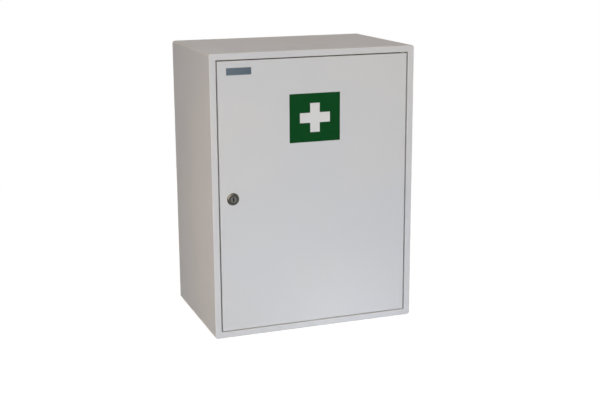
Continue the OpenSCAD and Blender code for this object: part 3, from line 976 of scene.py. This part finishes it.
class BufferRow(RowTree):
    """Round rubber buffers."""

    SIDES = 40

    def __init__(self) -> None:
        """Names the buffer's sizes."""
        super().__init__("buffer_row", {"Radius": 4.5 * MM, "Height": 2.65 * MM})

    def shape(self) -> Socket:
        """One buffer, standing on the plane.

        Returns:
            Its geometry.
        """
        sizes = {"Vertices": self.SIDES, "Radius": self.given["Radius"], "Depth": self.given["Height"]}
        pad = self.out("GeometryNodeMeshCylinder", sizes, fill_type="NGON")
        up = self.joined(Z=self.times(self.given["Height"], 0.5))
        return self.out("GeometryNodeTransform", {"Geometry": pad, "Translation": up})


class WaferRow(RowTree):
    """Thin spring wafers that stand into the key slot."""

    def __init__(self) -> None:
        """Names the wafer's size."""
        super().__init__("wafer_row", {"Size": (2.3 * MM, 0.5 * MM, 2.0 * MM)})

    def shape(self) -> Socket:
        """One wafer."""
        return self.out("GeometryNodeMeshCube", {"Size": self.given["Size"]})


class BarrelThread(GeometryTree):
    """Helical thread round a barrel, cut away at its two flats."""

    TURN_STEPS = 40

    def __init__(self) -> None:
        """Builds the tree."""
        sizes = {
            "Radius": 9.05 * MM, "Depth": 0.45 * MM, "Pitch": 1.0 * MM,
            "Length": 20.0 * MM, "Flats": 16.4 * MM,
        }
        super().__init__("barrel_thread", {"Axis": (0.0, 0.0, 0.0)} | sizes)
        radius, depth, pitch, length, flats = (self.given[name] for name in sizes)
        coil = {"Resolution": self.TURN_STEPS, "Rotations": self.math("DIVIDE", length, pitch)}
        coil |= {"Start Radius": radius, "End Radius": radius, "Height": length}
        helix = self.out("GeometryNodeCurveSpiral", coil)
        ridge = {"Resolution": 4, "Radius": depth}
        swept = {"Curve": helix, "Fill Caps": True}
        swept["Profile Curve"] = self.out("GeometryNodeCurvePrimitiveCircle", ridge, mode="RADIUS")
        thread = self.out("GeometryNodeCurveToMesh", swept)
        at = self.parts(self.out("GeometryNodeInputPosition"))
        half = self.times(flats, 0.5)
        kept = self.math("MINIMUM", self.math("MAXIMUM", at["X"], self.times(half, -1.0)), half)
        spot = self.joined(X=kept, Y=at["Y"], Z=at["Z"])
        cut = self.out("GeometryNodeSetPosition", {"Geometry": thread, "Position": spot})
        laid = {"Geometry": cut, "Translation": self.given["Axis"]}
        laid["Rotation"] = (-QUARTER_TURN, 0.0, 0.0)
        self.close(self.out("GeometryNodeTransform", laid))


class SlottedStrip(GeometryTree):
    """Sheet strip folded to a channel, with slots at an even pitch along its web."""

    # Points of a quarter bend, as shares of its radius across and along the web
    BEND = [(1 - math.cos(turn), 1 - math.sin(turn)) for turn in map(math.radians, (90, 67.5, 45, 22.5, 0))]

    def __init__(self) -> None:
        """Builds the tree: a grid, whose every point is moved to its place on the channel."""
        sizes = {
            "Side": 1.0, "Depth": 8.0 * MM, "Width": 20.0 * MM, "Height": 541.0 * MM, "Bend": 1.6 * MM,
            "Slots": 21, "Pitch": 25.0 * MM, "First": 18.5 * MM,
            "Slot Width": 10.0 * MM, "Slot Height": 4.0 * MM,
        }
        super().__init__("slotted_strip", {"Foot": (0.0, 0.0, 0.0)} | sizes)
        given = self.given
        columns = self.columns()
        rows = self.times_plus(given["Slots"], 2.0, 2.0)
        grid = self.out("GeometryNodeMeshGrid", {"Vertices X": len(columns), "Vertices Y": rows})
        index = self.out("GeometryNodeInputIndex")
        column = self.math("FLOOR", self.math("DIVIDE", self.math("ADD", index, 0.5), rows))
        row = self.math("SUBTRACT", index, self.times(column, rows))
        place = self.add("GeometryNodeIndexSwitch", {"Index": column}, data_type="VECTOR")
        while len(place.index_switch_items) < len(columns):
            place.index_switch_items.new()
        for k, (depth, bend_x, bend_y, width, slot) in enumerate(columns):
            x = self.times_plus(given["Bend"], bend_x, self.times(given["Depth"], depth))
            y = self.times_plus(given["Slot Width"], slot, self.times(given["Width"], width))
            y = self.times_plus(given["Bend"], bend_y, y)
            self.feed(place.inputs[1 + k], self.joined(X=self.times(x, given["Side"]), Y=y))
        rise = self.joined(Z=self.level(row, rows))
        spot = self.vector("ADD", self.vector("ADD", place.outputs[0], rise), given["Foot"])
        shaped = self.out("GeometryNodeSetPosition", {"Geometry": grid, "Position": spot})
        slots = {"Geometry": shaped, "Selection": self.in_slot()}
        self.close(self.out("GeometryNodeDeleteGeometry", slots, domain="FACE"))

    @classmethod
    def columns(cls) -> list[tuple[float, ...]]:
        """The grid's columns from edge to edge, as shares of sizes.

        Returns:
            Shares of depth, of bend radius across and along the web, of width and of slot width.
        """
        half = [(1.0, 0.0, 0.0, -0.5, 0.0)]
        half += [(0.0, across, along, -0.5, 0.0) for across, along in cls.BEND]
        half += [(0.0, 0.0, 0.0, 0.0, -0.5)]
        return half + [(depth, x, -y, -width, -slot) for depth, x, y, width, slot in reversed(half)]

    def level(self, row: Socket, rows: Socket) -> Socket:
        """Height of a row of the grid: the foot, each slot's lower and upper edge, and the top.

        Args:
            row: The row's number.
            rows: How many there are.

        Returns:
            The height over the foot.
        """
        given = self.given
        step = self.math("SUBTRACT", row, 1.0)
        pair = self.math("FLOOR", self.times(step, 0.5))
        upper = self.math("SUBTRACT", step, self.times(pair, 2.0))
        level = self.times_plus(pair, given["Pitch"], given["First"])
        level = self.times_plus(upper, given["Slot Height"], level)
        level = self.times(level, self.math("GREATER_THAN", row, 0.5))
        last = self.math("GREATER_THAN", row, self.math("SUBTRACT", rows, 1.5))
        return self.times_plus(self.math("SUBTRACT", given["Height"], level), last, level)

    def in_slot(self) -> Socket:
        """Mask of the faces that lie in a slot.

        Returns:
            1 in a slot, 0 elsewhere.
        """
        given = self.given
        at = self.parts(self.vector("SUBTRACT", self.out("GeometryNodeInputPosition"), given["Foot"]))
        inside = self.math("LESS_THAN", self.math("ABSOLUTE", at["Y"]), self.times(given["Slot Width"], 0.4))
        steps = self.math("DIVIDE", self.math("SUBTRACT", at["Z"], given["First"]), given["Pitch"])
        share = self.times(self.math("FRACT", steps), given["Pitch"])
        open_row = self.math("LESS_THAN", share, given["Slot Height"])
        return self.times(self.times(inside, open_row), self.math("GREATER_THAN", steps, 0.0))


@dataclass
class CaseShell:
    """The wrapped case, its back panel and stop angles."""

    sheets: tuple[str, ...] = (
        "body_shell", "back_panel", "stop_angle_lock_side", "stop_angle_top", "stop_angle_bottom"
    )
    rounding: float = 0.3
    weld_x: tuple[float, float] = (-221.95, 221.95)
    weld_y: float = 142.0
    weld_z: tuple[float, float] = (3.05, 596.95)
    side_run: tuple[float, float] = (40.0, 560.0)
    end_run: tuple[float, float] = (-180.0, 180.0)
    side_welds: int = 10
    end_welds: int = 7

    def build(self) -> None:
        """Builds the case's painted sheets and the spot welds along the back panel's folded edge."""
        for node in self.sheets:
            dress(node, PAINT, self.rounding, Body.CASE)
        rows = []
        for x, turn in zip(self.weld_x, (QUARTER_TURN, -QUARTER_TURN)):
            ends = [(x, self.weld_y, z) for z in self.side_run]
            rows.append(RowTree.row(*ends, self.side_welds, (0.0, turn, 0.0)))
        for z, turn in zip(self.weld_z, (0.0, math.pi)):
            ends = [(x, self.weld_y, z) for x in self.end_run]
            rows.append(RowTree.row(*ends, self.end_welds, (turn, 0.0, 0.0)))
        SpotWeldRow().build("case_spot_welds", Body.CASE, PAINT, rows)


@dataclass
class Buffers:
    """Rubber buffers on the stop angles."""

    radius: float = 4.5
    height: float = 2.65
    seat: float = -128.55
    # Place across the case and the two heights of each pair
    pairs: tuple[tuple[float, tuple[float, float]], ...] = ((-205.0, (520.0, 80.0)), (0.0, (580.0, 20.0)))
    rounding: float = 0.7
    rounding_faces: int = 3

    def build(self) -> None:
        """Builds the four buffers as one piece."""
        sizes = {"Radius": self.radius * MM, "Height": self.height * MM}
        rows = []
        for x, heights in self.pairs:
            ends = [(x, self.seat, z) for z in heights]
            rows.append(RowTree.row(*ends, len(ends), (QUARTER_TURN, 0.0, 0.0), **sizes))
        pads = BufferRow().rows(RUBBER, rows)
        name = "door_buffers_moulded"
        piece = MeshKit.finish_shape(pads, name, [RUBBER], self.rounding, self.rounding_faces)
        hand_over(piece, Body.CASE, RUBBER, "door_buffers")


@dataclass
class Hinges:
    """Concealed pivot hinges at the top and bottom of the door."""

    plate_rounding: float = 0.4
    pin_rounding: float = 0.25
    washer_rounding: float = 0.2

    def build(self) -> None:
        """Builds plates, pins, ring and washers."""
        for level in ("upper", "lower"):
            dress(f"frame_hinge_plate_{level}", ZINC, self.plate_rounding, Body.CASE)
            dress(f"hinge_pin_{level}", ZINC, self.pin_rounding, Body.CASE)
            dress(f"door_hinge_plate_{level}", ZINC, self.plate_rounding, Body.DOOR)
        dress("hinge_pin_ring", ZINC, self.washer_rounding, Body.CASE)
        dress("hinge_washer_lower", NYLON, self.washer_rounding, Body.CASE)
        dress("hinge_washer_upper", NYLON, self.washer_rounding, Body.DOOR)


@dataclass
class Uprights:
    """Slotted channels inside the case, and the shelf clips in them."""

    web: float = 215.45
    sheet: float = 1.0
    foot: float = 29.5
    fold_merge: float = 1e-7
    middles: tuple[tuple[str, float], ...] = (("front", -61.0), ("rear", 104.5))
    rounding: float = 0.2
    clip_rounding: float = 0.35

    def build(self) -> None:
        """Builds the uprights and the clips."""
        strip = SlottedStrip()
        for side, sign in (("left", -1.0), ("right", 1.0)):
            for place, middle in self.middles:
                self.build_upright(strip, f"upright_{side}_{place}", sign, middle)
        for level in ("lower", "middle", "upper"):
            dress(f"shelf_clips_{level}", ZINC, self.clip_rounding, Body.CASE)

    def build_upright(self, strip: SlottedStrip, node: str, sign: float, middle: float) -> None:
        """Builds one upright: folds the strip, then gives it its thickness.

        Args:
            strip: The tree that makes the folded strip.
            node: The CAD node that it stands for.
            sign: 1 on the right-hand wall, -1 on the left-hand one.
            middle: Depth of its middle, in millimetres.
        """
        name = f"{node}_{PAINT.word}"
        values = {"Foot": millimetres(sign * self.web, middle, self.foot), "Side": sign}
        shape = MeshKit.gather(strip.run(name, PAINT, values))
        bmesh.ops.remove_doubles(shape, verts=shape.verts, dist=self.fold_merge)
        web = max(shape.faces, key=lambda face: face.calc_area() * abs(face.normal.x))
        if web.normal.x * sign > 0:
            bmesh.ops.reverse_faces(shape, faces=shape.faces)
        piece = MeshKit.from_shape(shape, name, [PAINT])
        wall = piece.modifiers.new("wall", "SOLIDIFY")
        wall.thickness, wall.offset, wall.use_even_offset = self.sheet * MM, -1.0, True
        MeshKit.bake_modifiers(piece)
        piece = MeshKit.finish_shape(MeshKit.gather(piece), name, [PAINT], self.rounding)
        hand_over(piece, Body.CASE, PAINT, node)


@dataclass
class Shelves:
    """The three folded shelves."""

    bodies: tuple[Body, ...] = (Body.LOWER_SHELF, Body.MIDDLE_SHELF, Body.UPPER_SHELF)
    rounding: float = 0.3

    def build(self) -> None:
        """Builds the shelves."""
        for level, body in zip(("lower", "middle", "upper"), self.bodies):
            dress(f"shelf_{level}", PAINT, self.rounding, body)


@dataclass
class Door:
    """The folded door, its stiffening channel and their spot welds."""

    rounding: float = 0.3
    weld_x: tuple[float, float] = (-32.0, 32.0)
    weld_y: float = -147.25
    weld_run: tuple[float, float] = (76.0, 523.0)
    welds: int = 10

    def build(self) -> None:
        """Builds the door's painted pieces."""
        for node in ("door_panel", "door_stiffener"):
            dress(node, PAINT, self.rounding, Body.DOOR)
        rows = []
        for x in self.weld_x:
            ends = [(x, self.weld_y, z) for z in self.weld_run]
            rows.append(RowTree.row(*ends, self.welds, (-QUARTER_TURN, 0.0, 0.0)))
        SpotWeldRow().build("door_spot_welds", Body.DOOR, PAINT, rows)


@dataclass
class Sign:
    """First-aid sign of two layers of film."""

    rounding: float = 0.08

    def build(self) -> None:
        """Builds the green field and the white cross."""
        dress("sign_field", GREEN_FILM, self.rounding, Body.DOOR)
        dress("sign_cross", WHITE_FILM, self.rounding, Body.DOOR)


@dataclass
class NamePlate:
    """Bare metal plate with a bright rim round a sunk field."""

    centre: tuple[float, float] = (-163.5, 562.5)
    back: float = -149.55
    width: float = 53.0
    height: float = 15.0
    thickness: float = 0.6
    corner: float = 1.0
    least_corner: float = 0.25
    rim: float = 0.8
    sunk: float = 0.12
    corner_steps: int = 6

    def outline(self, inset: float, depth: float) -> list[Point]:
        """Rounded rectangle parallel to the plate's edge.

        Args:
            inset: Distance inwards from the edge, in millimetres.
            depth: Height over the plate's back, in millimetres.

        Returns:
            The outline's points.
        """
        radius = max(self.corner - inset, self.least_corner)
        half_w, half_h = self.width / 2 - inset - radius, self.height / 2 - inset - radius
        points = []
        for quarter, (sx, sz) in enumerate(((1, 1), (-1, 1), (-1, -1), (1, -1))):
            for step in range(self.corner_steps + 1):
                angle = math.radians(90 * (quarter + step / self.corner_steps))
                x = self.centre[0] + sx * half_w + radius * math.cos(angle)
                z = self.centre[1] + sz * half_h + radius * math.sin(angle)
                points.append(millimetres(x, self.back - depth, z))
        return points

    def build(self) -> None:
        """Builds the plate."""
        top, floor = self.thickness, self.thickness - self.sunk
        steps = (
            (0.0, 0.0), (0.0, top - 0.15), (0.05, top - 0.05), (0.15, top),
            (self.rim, top), (self.rim + 0.12, floor), (self.rim + 1.2, floor),
        )
        shape = MeshKit.loft([self.outline(*step) for step in steps], (0, 0, 0, 0, 0, 1), closed=False)
        piece = MeshKit.finish_shape(shape, "name_plate_brushed", [PLATE_RIM, PLATE_FIELD])
        hand_over(piece, Body.DOOR, PLATE_FIELD, "name_plate")


@dataclass
class CamLock:
    """Cam lock: head and barrel, nut, turning plug, cam, washer and screw."""

    axis: tuple[float, float] = LOCK_AXIS
    face: float = -155.5
    head_radius: float = 13.0
    head_depth: float = 5.95
    bevel_width: float = 2.5
    bevel_depth: float = 3.6
    barrel_radius: float = 9.5
    thread_depth: float = 0.45
    thread_pitch: float = 1.0
    thread_setback: float = 0.6
    thread_clearance: float = 0.1
    flats: float = 16.5
    barrel_rear: float = -125.8
    bore: float = 6.55
    rear_bore: float = 5.8
    shoulder: float = 14.85
    nut_front: float = -148.25
    nut_depth: float = 5.0
    nut_flats: float = 24.0
    nut_bore: float = 9.55
    nut_chamfer: float = 0.5
    # Reach past the flats, less where it is negative, and depth of each step of the nut's outer chamfer
    nut_edge: tuple[tuple[float, float], ...] = ((-0.4, 0.0), (0.35, 0.45))
    nut_corner_depth: float = 1.3
    nut_steps: int = 144
    plug_rounding: float = 0.22
    # Half width and half height of the key slot, and the mouth's depth behind the face, in millimetres;
    # faces past that depth take painted shade
    keyway: tuple[float, float] = (1.45, 4.75)
    keyway_mouth: float = 0.82
    wafer: Triple = (2.38, 0.45, 1.6)
    wafers: int = 8
    wafer_first: float = 4.2
    wafer_run: float = 11.2
    wafer_stagger: float = 0.8
    wafer_level: float = 3.7
    small_parts: tuple[tuple[str, float], ...] = (
        ("lock_cam", 0.4), ("cam_washer", 0.15), ("cam_screw", 0.25)
    )

    def ring(
        self,
        radius: float,
        depth: float,
        flats: float = math.inf,
        hexagon: float = math.inf,
        steps: int = 96,
        start: float = 0.5,
    ) -> list[Point]:
        """One ring round the lock's axis.

        Args:
            radius: Its radius, in millimetres.
            depth: Its distance behind the head's face, in millimetres.
            flats: Distance across two flats that cut it.
            hexagon: Distance across a hexagon that cuts it.
            steps: Number of points.
            start: Place of the first point, in steps.

        Returns:
            The ring's points.
        """
        points = []
        for k in range(steps):
            angle = 2 * math.pi * (k + start) / steps
            reach = min(radius, hexagon / 2 / math.cos(angle % (math.pi / 3) - math.pi / 6))
            x = max(-flats / 2, min(flats / 2, reach * math.cos(angle)))
            z = self.axis[1] + reach * math.sin(angle)
            points.append(millimetres(self.axis[0] + x, self.face + depth, z))
        return points

    def build(self) -> None:
        """Builds the whole lock."""
        self.build_head()
        self.build_thread()
        self.build_nut()
        self.build_plug()
        for node, rounding in self.small_parts:
            dress(node, ZINC, rounding, Body.LOCK_CORE)

    def build_head(self) -> None:
        """Builds the head and the smooth core of the barrel."""
        length = self.barrel_rear - self.face
        core = self.barrel_radius - self.thread_depth
        edge, rim = self.head_radius, self.head_radius - self.bevel_width
        # Radius and depth of each ring, finish of the band that follows it, and flats where they cut it
        profile: list[tuple[Any, ...]] = [
            # Outer wall and rim, in nickel with a painted highlight
            (edge - 0.4, self.head_depth, WALL_HIGHLIGHT_NICKEL),
            (edge, self.head_depth - 0.4, WALL_HIGHLIGHT_NICKEL),
            (edge, self.bevel_depth + 0.5, WALL_HIGHLIGHT_NICKEL),
            # Bevel, in nickel darkened as a painted reflection
            (edge - 0.08, self.bevel_depth + 0.1, BEVEL_REFLECTION_NICKEL),
            (edge - 0.25, self.bevel_depth - 0.25, BEVEL_REFLECTION_NICKEL),
            (rim + 0.32, 0.42, BEVEL_REFLECTION_NICKEL),
            (rim + 0.12, 0.16, BEVEL_REFLECTION_NICKEL),
            # Flat face, in nickel darkened as a painted reflection
            (rim - 0.15, 0.03, FACE_REFLECTION_NICKEL),
            (rim - 0.4, 0.0, FACE_REFLECTION_NICKEL),
            (7.75, 0.0, FACE_REFLECTION_NICKEL),
            # Mouth and bore round the plug, in nickel darkened as painted shade
            (7.45, 0.06, BORE_SHADE_NICKEL),
            (self.bore, 0.9, BORE_SHADE_NICKEL),
            (self.bore, self.shoulder, BORE_SHADE_NICKEL),
            (self.rear_bore, self.shoulder, BORE_SHADE_NICKEL),
            (self.rear_bore, length, BARREL_NICKEL),
            (core - 0.6, length, BARREL_NICKEL, self.flats - 0.6),
            (core, length - 0.6, BARREL_NICKEL, self.flats),
            (core, self.head_depth + 0.05, BARREL_NICKEL, self.flats),
            (core, self.head_depth, BEVEL_REFLECTION_NICKEL, self.flats),
        ]
        rings = [self.ring(radius, depth, *flats) for radius, depth, _, *flats in profile]
        finishes = [BEVEL_REFLECTION_NICKEL, BARREL_NICKEL, BORE_SHADE_NICKEL, FACE_REFLECTION_NICKEL, WALL_HIGHLIGHT_NICKEL]
        shape = MeshKit.loft(rings, [finishes.index(row[2]) for row in profile], closed=True)
        piece = MeshKit.finish_shape(shape, "lock_body_plated", finishes)
        hand_over(piece, Body.DOOR, BEVEL_REFLECTION_NICKEL, "lock_body")

    def build_thread(self) -> None:
        """Builds the barrel's thread behind the door's sheet."""
        start = self.nut_front + self.thread_setback
        values = {
            "Axis": millimetres(self.axis[0], start, self.axis[1]),
            "Radius": (self.barrel_radius - self.thread_depth) * MM,
            "Depth": self.thread_depth * MM,
            "Pitch": self.thread_pitch * MM,
            "Length": (self.barrel_rear - self.thread_pitch - start) * MM,
            "Flats": (self.flats - self.thread_clearance) * MM,
        }
        piece = BarrelThread().run("lock_barrel_thread", BARREL_NICKEL, values)
        for polygon in piece.data.polygons:
            polygon.use_smooth = False
        hand_over(piece, Body.DOOR, BARREL_NICKEL)

    def build_nut(self) -> None:
        """Builds the hexagon nut with its chamfered corners and chamfered bore."""
        across, deep = self.nut_flats / 2, self.nut_depth
        outside = [(across + past, depth) for past, depth in self.nut_edge]
        outside.append((across / math.cos(math.pi / 6), self.nut_corner_depth))
        outside += [(radius, deep - depth) for radius, depth in reversed(outside)]
        inside = [(self.nut_bore + self.nut_chamfer, 0.0), (self.nut_bore, self.nut_chamfer)]
        inside = [(radius, deep - depth) for radius, depth in inside] + list(reversed(inside))
        rings = []
        for profile, hexagon in ((outside, self.nut_flats), (inside, math.inf)):
            for radius, depth in profile:
                behind = self.nut_front - self.face + depth
                rings.append(self.ring(radius, behind, hexagon=hexagon, steps=self.nut_steps, start=0.0))
        piece = MeshKit.finish_shape(MeshKit.loft(rings, [0], closed=True), "lock_nut_plated", [ZINC])
        hand_over(piece, Body.DOOR, ZINC, "lock_nut")

    def build_plug(self) -> None:
        """Builds the turning plug and the wafers in its key slot."""
        plug = MeshKit.node_copy("lock_plug", PLUG_REFLECTION_NICKEL, self.plug_rounding)
        plug.data.materials.append(KEYWAY_SHADE_NICKEL.material())
        # Faces deep in the key slot take the near-black painted shade
        for polygon in plug.data.polygons:
            x, y, z = (value / MM for value in polygon.center)
            across, up = abs(x - self.axis[0]), abs(z - self.axis[1])
            if across < self.keyway[0] and up < self.keyway[1] and y > self.face + self.keyway_mouth:
                polygon.material_index = 1
        hand_over(plug, Body.LOCK_CORE, PLUG_REFLECTION_NICKEL, "lock_plug")
        rows = []
        for side, stagger in ((-1, 0.0), (1, self.wafer_stagger)):
            start = self.face + self.wafer_first + stagger
            level = self.axis[1] + side * self.wafer_level
            ends = [(self.axis[0], y, level) for y in (start, start + self.wafer_run)]
            rows.append(RowTree.row(*ends, self.wafers, Size=millimetres(*self.wafer)))
        WaferRow().build("lock_plug_wafers", Body.LOCK_CORE, SHADED_BRASS, rows)


@dataclass(frozen=True)
class Lamp:
    """One rectangular area lamp of the studio."""

    name: str
    place: Point
    size: tuple[float, float]
    power: float
    colour: Triple = (1.0, 1.0, 1.0)
    aim: Point = (0.0, 0.0, 0.3)
    mirrored: bool = False
    lighting: bool = True

    def build(self) -> None:
        """Builds the lamp; rays from the camera pass it."""
        data = bpy.data.lights.new(self.name, "AREA")
        data.shape, data.energy, data.color = "RECTANGLE", self.power, self.colour
        data.size, data.size_y = self.size
        lamp = new_object(self.name, data)
        lamp.location = self.place
        lamp.rotation_euler = (Vector(self.aim) - Vector(self.place)).to_track_quat("-Z", "Y").to_euler()
        lamp.visible_camera = False
        lamp.visible_glossy = self.mirrored
        lamp.visible_diffuse = self.lighting


LAMPS = (
    Lamp("key", (-1.15, -3.0, 0.80), (1.5, 1.5), 40.1, (1.0, 0.997, 0.99), mirrored=True),
    Lamp("front_fill", (0.9, -3.0, 0.5), (1.2, 1.2), 22.0, (1.0, 0.99, 0.957)),
    Lamp("low_fill", (-0.04, -0.60, 0.03), (0.8, 0.08), 0.52, (0.425, 0.654, 1.0), (0.0, -0.15, 0.03)),
    Lamp("bounce", (0.075, -0.28, 0.015), (0.26, 0.02), 0.025, (1.0, 0.98, 0.97), (0.075, -0.15, 0.015)),
    Lamp("side_strip", (-0.52, -0.17, 0.27), (0.12, 0.8), 0.40, (1.0, 0.733, 0.544), (-0.22, -0.12, 0.27)),
    Lamp("top_fill", (0.0, -0.2, 2.2), (1.0, 1.0), 5.7, (1.0, 0.836, 0.778), (0.0, 0.0, 0.6)),
    Lamp(
        "gleam", (-1.40, -0.25, 1.45), (1.6, 3.2), 92.0,
        aim=(-0.18, -0.15, 0.3), mirrored=True, lighting=False,
    ),
    Lamp("right_fill", (2.3, 0.1, 0.62), (1.2, 1.2), 10.0),
    Lamp("back_fill", (0.2, 2.6, 0.62), (1.2, 1.2), 22.0),
)


@dataclass
class Studio:
    """Plain pale floor, plain soft light and the camera."""

    camera_place: Point = (-0.816, -2.291, 0.834)
    yaw: float = 20.06
    pitch: float = -13.53
    roll: float = -0.34
    focal_px: float = 1114.5
    width_px: float = 600.0
    sensor: float = 36.0
    floor_radius: float = 3.2
    floor_sides: int = 96
    floor_drop: float = 0.4
    floor_colour: Colour = (0.8, 0.8, 0.8, 1.0)
    floor_lift: float = 0.72
    # Distances from the middle between which the floor fades to plain white, in metres
    floor_fade: tuple[float, float] = (0.7, 1.6)
    ambient: Colour = (0.130, 0.116, 0.100, 1.0)

    def build(self) -> None:
        """Builds camera, floor, world and lamps."""
        bpy.context.scene.view_settings.view_transform = "Standard"
        self.build_camera()
        self.build_floor()
        self.build_world()
        for lamp in LAMPS:
            lamp.build()

    def build_camera(self) -> None:
        """Builds the camera from its place, turn, tilt and roll."""
        yaw, pitch, roll = map(math.radians, (self.yaw, self.pitch, self.roll))
        ahead = Vector((math.sin(yaw) * math.cos(pitch), math.cos(yaw) * math.cos(pitch), math.sin(pitch)))
        level = Vector((math.cos(yaw), -math.sin(yaw), 0.0))
        above = level.cross(ahead)
        right = level * math.cos(roll) + above * math.sin(roll)
        up = above * math.cos(roll) - level * math.sin(roll)
        data = bpy.data.cameras.new("camera")
        data.sensor_fit = "HORIZONTAL"
        data.sensor_width = self.sensor
        data.lens = self.focal_px / self.width_px * self.sensor
        camera = new_object("camera", data)
        turn = Matrix((right, up, -ahead)).transposed().to_4x4()
        camera.matrix_world = Matrix.Translation(self.camera_place) @ turn
        bpy.context.scene.camera = camera

    @staticmethod
    def rays(board: NodeBoard) -> tuple[Socket, Socket]:
        """Masks of the rays that show a surface, and not the light that it throws on others.

        Args:
            board: The tree that needs them.

        Returns:
            The mask of camera rays, and that of mirrored and transmitted rays.
        """
        path = board.add("ShaderNodeLightPath").outputs
        mirrored = board.math("MAXIMUM", path["Is Glossy Ray"], path["Is Transmission Ray"])
        return path["Is Camera Ray"], mirrored

    def build_floor(self) -> None:
        """Builds a round floor that is white where no shadow lies."""
        shape = bmesh.new()
        bmesh.ops.create_circle(
            shape, cap_ends=True, radius=self.floor_radius, segments=self.floor_sides
        )
        bmesh.ops.translate(shape, verts=shape.verts, vec=(0.0, 0.0, -self.floor_drop * MM))
        floor = MeshKit.from_shape(shape, "floor")
        material = bpy.data.materials.new("studio_floor")
        material.use_nodes = True
        board = NodeBoard(material.node_tree)
        board.tree.nodes.clear()
        reach = board.length(board.out("ShaderNodeTexCoord", output="Object"))
        far = board.span(reach, *self.floor_fade, 0.0, 1.0)
        matt = board.out("ShaderNodeBsdfDiffuse", {"Color": self.floor_colour})
        lift = board.out("ShaderNodeEmission", {"Color": WHITE, "Strength": self.floor_lift})
        near = board.out("ShaderNodeAddShader", {0: matt, 1: lift})
        plain = board.out("ShaderNodeEmission", {"Color": WHITE, "Strength": 1.0})
        shown = board.out("ShaderNodeMixShader", {0: far, 1: near, 2: plain})
        direct, mirrored = self.rays(board)
        lit = board.out("ShaderNodeMixShader", {0: direct, 1: matt, 2: shown})
        whole = board.out("ShaderNodeMixShader", {0: mirrored, 1: lit, 2: plain})
        board.add("ShaderNodeOutputMaterial", {"Surface": whole})
        floor.data.materials.append(material)

    def build_world(self) -> None:
        """Builds a white surround that lights the object at a plain level."""
        world = bpy.data.worlds.new("studio")
        world.use_nodes = True
        board = NodeBoard(world.node_tree)
        board.tree.nodes.clear()
        seen = board.math("MAXIMUM", *self.rays(board))
        sky = board.out("ShaderNodeBackground", {"Color": board.tint(seen, self.ambient, WHITE)})
        board.add("ShaderNodeOutputWorld", {"Surface": sky})
        bpy.context.scene.world = world


def main() -> None:
    """Builds the cabinet's sub-assemblies in order."""
    logging.basicConfig(level=logging.INFO, format="%(name)s %(message)s")
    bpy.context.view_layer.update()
    Studio().build()
    inside = (CaseShell(), Buffers(), Hinges(), Uprights(), Shelves())
    front = (Door(), Sign(), NamePlate(), CamLock())
    for assembly in inside + front:
        LOG.info("building %s", type(assembly).__name__)
        assembly.build()


if __name__ == "__main__":
    main()
